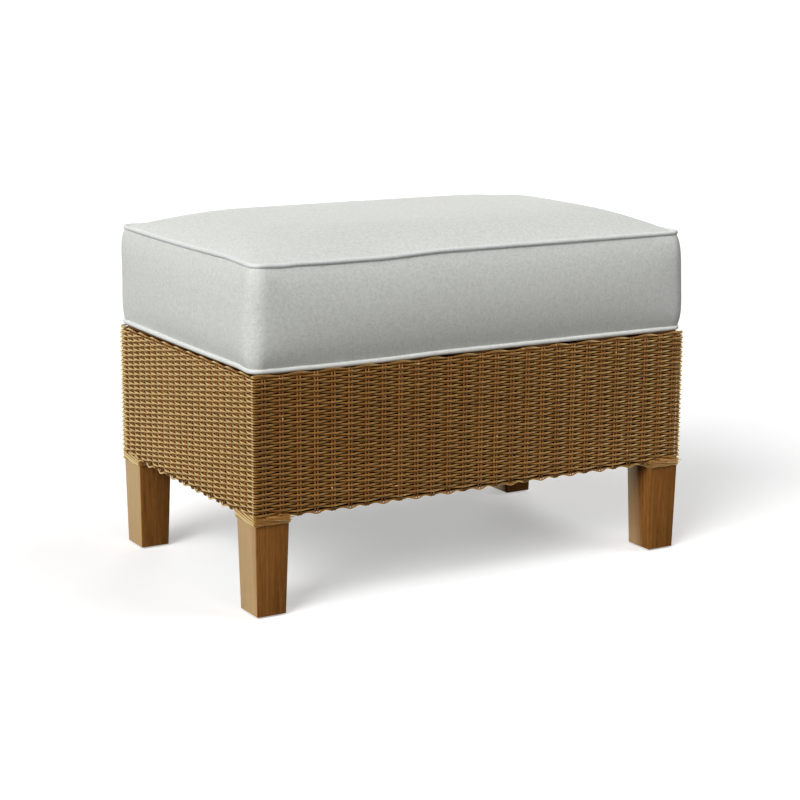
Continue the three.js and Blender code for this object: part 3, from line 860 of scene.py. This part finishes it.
for corner, (way_x, way_y) in CORNERS.items():
    runs = binding_runs() + (loose_ends() if way_y < 0 else [])
    binding = lay_canes("binding", runs, BINDING)
    middle_x = way_x * (SKIRT_HALF_X - LEG_MIDDLE_X)
    middle_y = way_y * (SKIRT_HALF_Y - LEG_MIDDLE_Y)
    binding.data.transform(Matrix.Translation((middle_x, middle_y, 0)))
    weather(binding, lambda places: np.round(places[:, 2] / BINDING), 0.15 * MM, 170.0)
    dress(binding, f"leg_binding_{corner}", lying_cane, "base", "cane", f"leg_wrap_{corner}")

# Cushion
# A foam core in a cover of heathered acrylic canvas: a crowned top, a bottom that lies flat
# on the deck, and a boxing strip between, sewn together over two welts and slightly full.
CUSHION_TOP_X = 331.5 * MM
CUSHION_TOP_Y = 206 * MM
CUSHION_BOTTOM_X = 337.5 * MM
CUSHION_BOTTOM_Y = 205 * MM
CUSHION_LEAN = -2 * MM
CUSHION_CORNER = 15 * MM
TOP_SEAM = 457.2 * MM
BOTTOM_SEAM = 322.1 * MM
SEAM_TUCK = 1 * MM
DECK_REST = 319.2 * MM
CROWN = 30 * MM
CROWN_EDGE_X = 41 * MM
CROWN_EDGE_Y = 51 * MM
CROWN_FILL = 0.8
CORNER_FULLNESS = 9.6 * MM
CORNER_ROLL = 9 * MM
BACK_FULLNESS = 1.2 * MM
FRONT_FULLNESS = 13 * MM
END_FULLNESS = 10.5 * MM
FULLNESS_POWER = 5
BACK_POWER = 14
SAG = 3.6 * MM
SAG_BEGINS = (-326 * MM, -285 * MM)
SAG_ENDS = (-160 * MM, -50 * MM)
SIDE_SAG = 2.2 * MM
LEFT_LIFT = 2 * MM
LEFT_EASE = 4.2 * MM
NEAR_DIP = 4.6 * MM
DIP_ALONG_FRONT = 65 * MM
DIP_ALONG_END = (90 * MM, 45 * MM)
PUFF = 1.5 * MM
PUFF_FRAMES = 20
CANVAS_CLOTH = {
    "use_pressure": True,
    "uniform_pressure_force": 4.0,
    "tension_stiffness": 40,
    "compression_stiffness": 40,
    "bending_stiffness": 4,
    "mass": 0.35,
    "vertex_group_mass": "sewn",
}
WELT = 6.6 * MM
WELT_SIDES = 16
THREAD = 0.8 * MM
CORNER_STEPS = 10
LONG_STEPS = 76
SHORT_STEPS = 46
OUTLINE_COUNT = 4 * CORNER_STEPS + 2 * LONG_STEPS + 2 * SHORT_STEPS
EDGE_RINGS = 4
TOP_RINGS = 26
BOXING_RINGS = 22
BOTTOM_RINGS = 14


def cushion_outline(half_x, half_y, radius):
    """Points round a rectangle with round corners, anticlockwise from the front left bend, each
    with the direction out of the cushion."""
    bends = ((-1, -1, math.pi), (1, -1, 1.5 * math.pi), (1, 1, 0), (-1, 1, QUARTER))
    places = []
    for index, (way_x, way_y, start) in enumerate(bends):
        middle = Vector((way_x * (half_x - radius), way_y * (half_y - radius)))
        for step in range(CORNER_STEPS + 1):
            angle = start + QUARTER * step / CORNER_STEPS
            normal = Vector((math.cos(angle), math.sin(angle)))
            places.append((middle + radius * normal, normal))
        end, normal = places.pop()
        next_x, next_y, _ = bends[(index + 1) % 4]
        after = Vector((next_x * (half_x - radius), next_y * (half_y - radius))) + radius * normal
        steps = LONG_STEPS if index % 2 == 0 else SHORT_STEPS
        places += [(end.lerp(after, step / steps), normal) for step in range(steps)]
    return places


def seam_reach(share):
    """Half the length and half the width of the cushion at a share of its height, from the top."""
    half_x = CUSHION_TOP_X + (CUSHION_BOTTOM_X - CUSHION_TOP_X) * share
    return half_x, CUSHION_TOP_Y + (CUSHION_BOTTOM_Y - CUSHION_TOP_Y) * share


def crown_share(x, y):
    along_x = 1 - min(1.0, abs(x) / CUSHION_TOP_X) ** (CUSHION_TOP_X / CROWN_EDGE_X)
    along_y = 1 - min(1.0, abs(y) / CUSHION_TOP_Y) ** (CUSHION_TOP_Y / CROWN_EDGE_Y)
    return (along_x * along_y) ** CROWN_FILL


def eased(value, low, high):
    share = min(1.0, max(0.0, (value - low) / (high - low)))
    return share * share * (3 - 2 * share)


def settled(x, y, z, share):
    """A place on the cushion, leant a little and let down where the seams hang lower: along
    the left part of the front, the corner beside it and the middle of the left end."""
    along = eased(x, *SAG_BEGINS) * (1 - eased(x, *SAG_ENDS))
    front = SAG * along * eased(-y, 0.55 * CUSHION_TOP_Y, CUSHION_TOP_Y)
    end = SIDE_SAG * max(0.0, 1 - (y / CUSHION_TOP_Y) ** 2)
    at_end = eased(-x, 0.7 * CUSHION_TOP_X, CUSHION_TOP_X)
    lift = LEFT_LIFT * (1 + 0.5 * share * (1 + y / CUSHION_TOP_Y)) * at_end
    sag = (front + end * at_end) * (1 - 0.55 * share) - lift
    high, low = DIP_ALONG_END
    near = 1 - eased(x, -CUSHION_TOP_X, -CUSHION_TOP_X + DIP_ALONG_FRONT)
    near *= 1 - eased(y, -CUSHION_TOP_Y, -CUSHION_TOP_Y + high + (low - high) * share)
    dip = NEAR_DIP * (1 - 0.5 * share) * near
    return x + CUSHION_LEAN * (1 - share), y, z - sag - dip


def boxing_outline(share):
    """The boxing at a share of its height, from the top: rolled round at the corners, where it
    stands furthest, drawn flat along the zip, bowed out along the other three sides, and
    slacker low on the left."""
    full = 1 - abs(2 * share - 1) ** FULLNESS_POWER
    corner = (CORNER_FULLNESS - PUFF) * full
    half_x, half_y = seam_reach(share)
    roll = CUSHION_CORNER + CORNER_ROLL * full
    places = []
    for place, normal in cushion_outline(half_x + corner, half_y + corner, roll):
        along_x = min(1.0, abs(place.x) / (half_x - CUSHION_CORNER))
        along_y = min(1.0, abs(place.y) / (half_y - CUSHION_CORNER))
        shift = 0.0
        if normal.y < -0.999:
            bow = (FRONT_FULLNESS - PUFF) * 4 * share * (1 - share)
            shift = (bow - corner) * (1 - along_x ** FULLNESS_POWER)
        elif abs(normal.x) > 0.999:
            bow = (END_FULLNESS - PUFF) * (1 - abs(2 * share ** 1.1 - 1) ** 3)
            shift = (bow - corner) * (1 - along_y ** FULLNESS_POWER)
        elif normal.y > 0.999:
            shift = (BACK_FULLNESS * full - corner) * (1 - along_x ** BACK_POWER)
        moved = place + shift * normal
        slack = eased(place.y, -0.2 * CUSHION_TOP_Y, 0.9 * CUSHION_TOP_Y) * max(0.0, -normal.x)
        moved.x += LEFT_EASE * (1 - (1 - share) ** 2.5) * full * slack
        places.append(moved)
    return places


def drawn_in(share, level):
    """The outline of the top (level 0) or the bottom (level 1), drawn in by a share."""
    half_x, half_y = seam_reach(level)
    left = 1 - share
    outline = cushion_outline(half_x - half_y * share, half_y * left, CUSHION_CORNER * left)
    return [place for place, _ in outline]


def tucked_seam(level):
    outline = cushion_outline(*seam_reach(level), CUSHION_CORNER)
    return [place - SEAM_TUCK * normal for place, normal in outline]


def cover_rings():
    """Rings of the cover from the middle of the top down to the middle of the bottom, and the
    numbers of the two that lie in the seams."""
    def ring_at(places, height_of, share):
        return [settled(place.x, place.y, height_of(place), share) for place in places]

    rings = []
    top_shares = [0.006 * step for step in range(1, EDGE_RINGS + 1)]
    top_shares += [0.03 + 0.97 * (step / TOP_RINGS) ** 1.25 for step in range(1, TOP_RINGS + 1)]
    for share in reversed(top_shares):
        crowned = lambda place: TOP_SEAM + CROWN * crown_share(place.x, place.y)
        rings.append(ring_at(drawn_in(share, 0), crowned, 0))
    first_seam = len(rings)
    rings.append(ring_at(tucked_seam(0), lambda _: TOP_SEAM, 0))
    for step in range(1, BOXING_RINGS):
        share = 0.5 - 0.5 * math.cos(math.pi * step / BOXING_RINGS)
        z = TOP_SEAM + (BOTTOM_SEAM - TOP_SEAM) * share
        rings.append(ring_at(boxing_outline(share), lambda _: z, share))
    last_seam = len(rings)
    rings.append(ring_at(tucked_seam(1), lambda _: BOTTOM_SEAM, 1))
    for step in range(1, BOTTOM_RINGS + 1):
        share = 0.004 + 0.996 * (step / BOTTOM_RINGS) ** 1.6
        sink = min(1.0, share / 0.08)
        ring = ring_at(drawn_in(share, 1), lambda _: BOTTOM_SEAM, 1)
        rings.append([(x, y, edge + (DECK_REST - edge) * sink) for x, y, edge in ring])
    return rings, first_seam, last_seam


def cloth_net(name, rings, cloth_place, closed=False):
    """A net of faces between rings of points. cloth_place gives the place on the cloth for a
    ring, a step on to the next ring, a point of the ring and a step on to the next point."""
    count = len(rings[0])
    faces = []
    for ring in range(len(rings) if closed else len(rings) - 1):
        here, below = ring * count, (ring + 1) % len(rings) * count
        for index in range(count):
            after = (index + 1) % count
            faces.append((here + index, below + index, below + after, here + after))
    mesh = bpy.data.meshes.new(name)
    mesh.from_pydata([place for ring in rings for place in ring], [], faces)
    cloth_map = mesh.uv_layers.new(name="cloth")
    for polygon in mesh.polygons:
        ring, index = divmod(polygon.index, count)
        for loop, (down, on) in zip(polygon.loop_indices, ((0, 0), (1, 0), (1, 1), (0, 1))):
            cloth_map.data[loop].uv = cloth_place(ring, down, index, on)
    return add_object(name, mesh)


def run_along(seam):
    """The distance along a closed seam at each of its points and back at the first."""
    steps = [(after[0] - here[0]).length for here, after in zip(seam, seam[1:] + seam[:1])]
    return np.concatenate([[0.0], np.cumsum(steps)])


def model_cover():
    rings, first_seam, last_seam = cover_rings()
    run = run_along(cushion_outline(CUSHION_TOP_X, CUSHION_TOP_Y, CUSHION_CORNER))

    def cloth_place(ring, down, index, on):
        x, y, z = rings[ring + down][(index + on) % OUTLINE_COUNT]
        return (run[index + on], z) if first_seam <= ring < last_seam else (x, y)

    cover = cloth_net("cover", rings, cloth_place)
    pins = cover.vertex_groups.new(name="sewn")
    held = list(range(first_seam * OUTLINE_COUNT, (first_seam + 1) * OUTLINE_COUNT))
    held += list(range(last_seam * OUTLINE_COUNT, len(rings) * OUTLINE_COUNT))
    pins.add(held, 1.0, "REPLACE")
    close_and_smooth(cover)
    return cover


def puff_up(cover, limit):
    """Blows the sewn cover up against its seams, and keeps no point further than a limit."""
    before = np.array([v.co for v in cover.data.vertices])
    only(cover)
    cloth = cover.modifiers.new("puff", "CLOTH")
    for key, value in CANVAS_CLOTH.items():
        setattr(cloth.settings, key, value)
    cloth.settings.effector_weights.gravity = 0.0
    cloth.point_cache.frame_start = 1
    cloth.point_cache.frame_end = PUFF_FRAMES
    for number in range(1, PUFF_FRAMES + 1):
        scene.frame_set(number)
    bpy.ops.object.modifier_apply(modifier=cloth.name)
    scene.frame_set(1)
    moved = np.array([v.co for v in cover.data.vertices]) - before
    far = np.linalg.norm(moved, axis=1)
    held = limit * np.tanh(far / limit)
    share = np.divide(held, far, out=np.zeros_like(far), where=far > 1e-9)
    cover.data.vertices.foreach_set("co", (before + moved * share[:, None]).ravel())
    cover.data.update()


def bands_at(tree, vector, scale, way):
    made = node(tree, "ShaderNodeTexWave", Vector=vector, Scale=scale, bands_direction=way)
    return made.outputs["Fac"]


def make_heather():
    """Mottle and thread height of plain-woven canvas, from its cloth map in metres."""
    tree, entry, result = group("heathered_canvas", ["Vector"], ["Mottle", "Height"])
    place = node(tree, "ShaderNodeTexCoord").outputs["Object"]
    fine = math_node(tree, "MULTIPLY", noise_at(tree, place, 620.0, 3.0, 0.7), 0.72)
    slub = math_node(tree, "MULTIPLY", noise_at(tree, place, 210.0, 2.0), 0.28)
    mottle = math_node(tree, "ADD", fine, slub)
    count = QUARTER / THREAD / 10
    threads = [bands_at(tree, entry["Vector"], count, way) for way in ("X", "Y")]
    woven = math_node(tree, "MAXIMUM", *threads)
    height = math_node(tree, "ADD", woven, math_node(tree, "MULTIPLY", mottle, 0.8))
    plug(result, Mottle=mottle, Height=height)
    return tree


heather = make_heather()


def canvas_finish(name, stops):
    material, tree, shader = new_material(
        name, Roughness=0.92, Specular_IOR_Level=0.25, Sheen_Weight=0.12, Sheen_Roughness=0.5
    )
    place = node(tree, "ShaderNodeUVMap", uv_map="cloth").outputs["UV"]
    weave = node(tree, "ShaderNodeGroup", node_tree=heather, Vector=place).outputs
    color_by(tree, shader, weave["Mottle"], stops)
    emboss(tree, shader, weave["Height"], 0.3 * MM, 0.35)
    return material


CANVAS_TONES = [
    (0.30, (0.520, 0.530, 0.500)),
    (0.50, (0.680, 0.692, 0.655)),
    (0.70, (0.800, 0.812, 0.775)),
]
# Lighter tones than the cover's canvas: painted light on the round welts.
LIT_WELT_TONES = [
    (0.30, (0.640, 0.655, 0.630)),
    (0.50, (0.760, 0.775, 0.748)),
    (0.70, (0.840, 0.852, 0.825)),
]
canvas = canvas_finish("heathered_canvas_cover", CANVAS_TONES)
lit_welt_canvas = canvas_finish("heathered_canvas_welt_lit", LIT_WELT_TONES)

cover = model_cover()
puff_up(cover, PUFF)
apply(cover, "SUBSURF", levels=1, render_levels=1)
bpy.ops.object.shade_smooth()
inside = [f"cushion_{part}" for part in ("foam", "top_panel", "bottom_panel", "boxing")]
dress(cover, "cushion_cover", canvas, "cushion", "cushion_fabric", *inside)

# Welts
# A cord wrapped in bias-cut canvas is sewn into each seam of the cover, and shows as a round
# piping with the stitching drawn tight behind it. Its canvas is given lighter tones than the
# cover's: painted light on the piping.


def model_welt(z, level):
    """Piping along a seam, with its cloth map run along it and round it."""
    seam = cushion_outline(*seam_reach(level), CUSHION_CORNER)
    rings = []
    for place, normal in seam:
        x, y, middle = settled(place.x, place.y, z, level)
        ring = []
        for side in range(WELT_SIDES):
            angle = 2 * math.pi * side / WELT_SIDES
            out = place + normal * (WELT / 2 * math.cos(angle))
            ring.append((x + out.x - place.x, out.y, middle + WELT / 2 * math.sin(angle)))
        rings.append(ring)
    run = run_along(seam)
    arc = math.pi * WELT / WELT_SIDES

    def cloth_place(index, step, side, turn):
        return run[index + step], (side + turn) * arc

    piping = cloth_net("welt", rings, cloth_place, closed=True)
    close_and_smooth(piping)
    return piping


for name, z, level in (("top", TOP_SEAM, 0), ("bottom", BOTTOM_SEAM, 1)):
    slots = (lit_welt_canvas, "cushion", "cushion_fabric")
    dress(model_welt(z, level), f"piped_{name}_welt", *slots, f"cushion_{name}_welt")

# Zip
# A nylon coil zip in the back of the boxing, so that the cover comes off to be washed: a woven
# tape sewn down along both edges, a continuous coil, and a nickel slider with a hanging pull.
ZIP_HALF = 260 * MM
ZIP_HEIGHT = 389.1 * MM
TAPE_HALF = 12 * MM
TAPE_BACK = 208.3 * MM
TAPE_FRONT = 210.01 * MM
STITCHING = (TAPE_HALF - 2.4 * MM, TAPE_HALF - 1.6 * MM)
COIL_PITCH = 2.6 * MM
COIL_WIRE = 0.8 * MM
COIL_PLACE = 210.55 * MM
COIL_DEPTH = 0.45 * MM
COIL_HALF = 2.1 * MM
COIL_STEPS = 10
COIL_END = 3 * MM
SLIDER_LENGTH = 12 * MM
SLIDER_HALF = 4.5 * MM
SLIDER_BACK = 211.75 * MM
SLIDER_FRONT = 213.0 * MM
PULL_BACK = SLIDER_FRONT - 0.1 * MM
PULL_FRONT = 213.9 * MM
PULL_TOP = ZIP_HEIGHT - 0.6 * MM


def tape_finish():
    """Ribbed polyester tape with two rows of stitching, in the colour of the cloth."""
    material, tree, shader = new_material("woven_zip_tape", Roughness=0.85)
    vector = mapped(tree)
    ribs = bands_at(tree, vector, 130.0, "X")
    height = math_node(tree, "ADD", ribs, bands_at(tree, vector, 48.0, "Z"))
    fuzz = noise_at(tree, vector, 900.0, 3.0)
    worn = math_node(tree, "ADD", math_node(tree, "MULTIPLY", height, 0.25), fuzz)
    color_by(tree, shader, worn, [(0.35, (0.40, 0.41, 0.39)), (0.85, (0.62, 0.63, 0.60))])
    emboss(tree, shader, height, 0.3 * MM, 0.6)
    return material


def model_tape():
    """The tape, sewn down along both edges and raised in the middle for the coil."""
    low = (-ZIP_HALF, TAPE_BACK, ZIP_HEIGHT - TAPE_HALF)
    tape = block(low, (ZIP_HALF, TAPE_FRONT, ZIP_HEIGHT + TAPE_HALF))
    edit(tape)
    for side in (-1, 1):
        for height in (COIL_HALF + 1.2 * MM, *reversed(STITCHING)):
            bpy.ops.mesh.select_all(action="SELECT")
            cut = (0, 0, ZIP_HEIGHT + side * height)
            bpy.ops.mesh.bisect(plane_co=cut, plane_no=(0, 0, 1))

    def on_stitching(place):
        height = abs(place.z - ZIP_HEIGHT)
        return place.y > TAPE_FRONT - HAIR and STITCHING[0] < height < STITCHING[1]

    pick_faces(on_stitching)
    bpy.ops.mesh.inset(thickness=0.1 * MM, depth=-0.25 * MM)
    leave_edit()
    ease_edges(tape, 0.3 * MM, 2)
    return tape


def model_coil():
    turns = int(2 * (ZIP_HALF - COIL_END) / COIL_PITCH)
    points = []
    for step in range(turns * COIL_STEPS + 1):
        angle = 2 * math.pi * step / COIL_STEPS
        x = -ZIP_HALF + COIL_END + COIL_PITCH * step / COIL_STEPS
        y = COIL_PLACE + COIL_DEPTH * math.cos(angle)
        points.append(Vector((x, y, ZIP_HEIGHT + COIL_HALF * math.sin(angle))))
    return lay_canes("coil", [even(points)], COIL_WIRE, upright=True)


def model_slider():
    """A heart-shaped plate, the bridge over it, and a pull with a slot at its end."""
    left, right = -ZIP_HALF, -ZIP_HALF + SLIDER_LENGTH
    low = (left, SLIDER_BACK, ZIP_HEIGHT - SLIDER_HALF)
    plate = block(low, (right, SLIDER_FRONT, ZIP_HEIGHT + SLIDER_HALF))
    edit(plate)
    pick_faces(lambda place: place.x > right - HAIR)
    bpy.ops.transform.resize(value=(1, 1, 0.55), center_override=(right, 0, ZIP_HEIGHT))
    leave_edit()
    ease_edges(plate, 0.45 * MM, 2)

    low = (left + 2.5 * MM, SLIDER_FRONT - 0.2 * MM, ZIP_HEIGHT - 1.2 * MM)
    bridge = block(low, (left + 9.5 * MM, PULL_FRONT, ZIP_HEIGHT + 1.2 * MM))
    ease_edges(bridge, 0.5 * MM)

    low = (left + 3 * MM, PULL_BACK, ZIP_HEIGHT - 22 * MM)
    faces = (PULL_BACK, PULL_FRONT - 0.1 * MM)
    pull = block(low, (left + 9 * MM, faces[1], PULL_TOP))
    edit(pull)
    pick_faces(lambda place: place.z > PULL_TOP - HAIR)
    neck = (left + 6 * MM, 0, ZIP_HEIGHT)
    bpy.ops.transform.resize(value=(0.6, 1, 1), center_override=neck)
    pick_faces(lambda place: min(abs(place.y - face) for face in faces) < 0.1 * HAIR)
    bpy.ops.mesh.inset(thickness=1.4 * MM, use_individual=True)
    bpy.ops.mesh.bridge_edge_loops()
    leave_edit()
    ease_edges(pull, 0.2 * MM, 2)
    return join([plate, bridge, pull])


COIL_TONES = [(0.3, (0.56, 0.57, 0.54)), (0.7, (0.70, 0.71, 0.68))]
NICKEL_TONES = [(0.35, (0.56, 0.55, 0.52)), (0.65, (0.74, 0.73, 0.70))]
coil_finish = clouded("nylon_coil", (300, 3), COIL_TONES, (0.1 * MM, 0.3), Roughness=0.35)
nickel = clouded(
    "nickel_plate", (1, 4), NICKEL_TONES, (0.1 * MM, 0.3),
    scale=(900, 900, 90), dull=(0.25, 0.18), Metallic=1.0,
)
dress(model_tape(), "zip_tape", tape_finish(), "cushion", "zip", "zip_chain")
dress(model_coil(), "zip_coil", coil_finish, "cushion", "zip", "zip_chain")
dress(model_slider(), "zip_slider_with_pull", nickel, "zip_slider", "zip_metal", "zip_slider")

# Floor, light and camera
# A white floor that keeps the stool's soft shadow, a weak fill from a white room, and six wide
# soft lamps: three from the left and its front, two from the front, and one low from behind.
FLOOR_LIFT = 0.38
FLOOR_SEEN = (0.80, 0.80, 0.80)
FLOOR_BOUNCE = (0.14, 0.14, 0.14)
WORLD_FILL = 0.02
LAMP_SPREAD = math.radians(30)
CAMERA_LENS = 90.22
CAMERA_TURNS = (30.7636, 12.1281, 0.3614)
CAMERA_PLACE = (-1.42987, -2.40057, 0.81396)


def seen_by(tree):
    """1 for the rays that show a surface: to the camera, in a gloss, or through glass."""
    path = node(tree, "ShaderNodeLightPath").outputs
    direct = math_node(tree, "MAXIMUM", path["Is Camera Ray"], path["Is Glossy Ray"])
    return math_node(tree, "MAXIMUM", direct, path["Is Transmission Ray"])


bpy.ops.mesh.primitive_plane_add(size=300, location=(0, 0, 0))
floor = bpy.context.active_object
floor.name = "floor"
floor_finish, tree, shader = new_material(
    "white_floor", Roughness=0.9, Specular_IOR_Level=0.0, Emission_Color=(1, 1, 1, 1)
)
seen = seen_by(tree)
color_by(tree, shader, seen, [(0, FLOOR_BOUNCE), (1, FLOOR_SEEN)])
plug(shader, Emission_Strength=math_node(tree, "MULTIPLY", seen, FLOOR_LIFT))
floor.data.materials.append(floor_finish)

world = bpy.data.worlds.new("studio")
scene.world = world
world.use_nodes = True
tree = world.node_tree
strength = math_node(tree, "MULTIPLY_ADD", seen_by(tree), 1 - WORLD_FILL, WORLD_FILL)
plug(tree.nodes["Background"], Color=(1, 1, 1, 1), Strength=strength)


def soft_lamp(name, bearing, height, level):
    """A far lamp as wide as a soft box, from a bearing and a height in degrees."""
    light = bpy.data.lights.new(name, "SUN")
    light.angle = LAMP_SPREAD
    light.energy = math.pi * level
    turn, tilt = math.radians(bearing), math.radians(height)
    flat = math.cos(tilt)
    away = Vector((math.cos(turn) * flat, math.sin(turn) * flat, math.sin(tilt)))
    add_object(name, light).matrix_world = away.to_track_quat("Z", "Y").to_matrix().to_4x4()


soft_lamp("left_front_lamp", 210, 32, 0.78)
soft_lamp("left_lamp", 180, 32, 0.21)
soft_lamp("left_top_lamp", 210, 58, 0.09)
soft_lamp("front_top_lamp", 330, 58, 0.26)
soft_lamp("front_low_lamp", 270, 7, 0.09)
soft_lamp("back_low_lamp", 60, 7, 0.54)

camera = bpy.data.cameras.new("camera")
camera.sensor_fit = "HORIZONTAL"
camera.sensor_width = 36
camera.lens = CAMERA_LENS
viewer = add_object("camera", camera)
yaw, pitch, roll = (math.radians(angle) for angle in CAMERA_TURNS)
flat = math.cos(pitch)
forward = Vector((math.sin(yaw) * flat, math.cos(yaw) * flat, -math.sin(pitch)))
level = Vector((math.cos(yaw), -math.sin(yaw), 0))
above = level.cross(forward)
right = level * math.cos(roll) + above * math.sin(roll)
up = -level * math.sin(roll) + above * math.cos(roll)
axes = Matrix((right, up, -forward)).transposed().to_4x4()
viewer.matrix_world = Matrix.Translation(CAMERA_PLACE) @ axes
scene.camera = viewer
scene.view_settings.view_transform = "Standard"
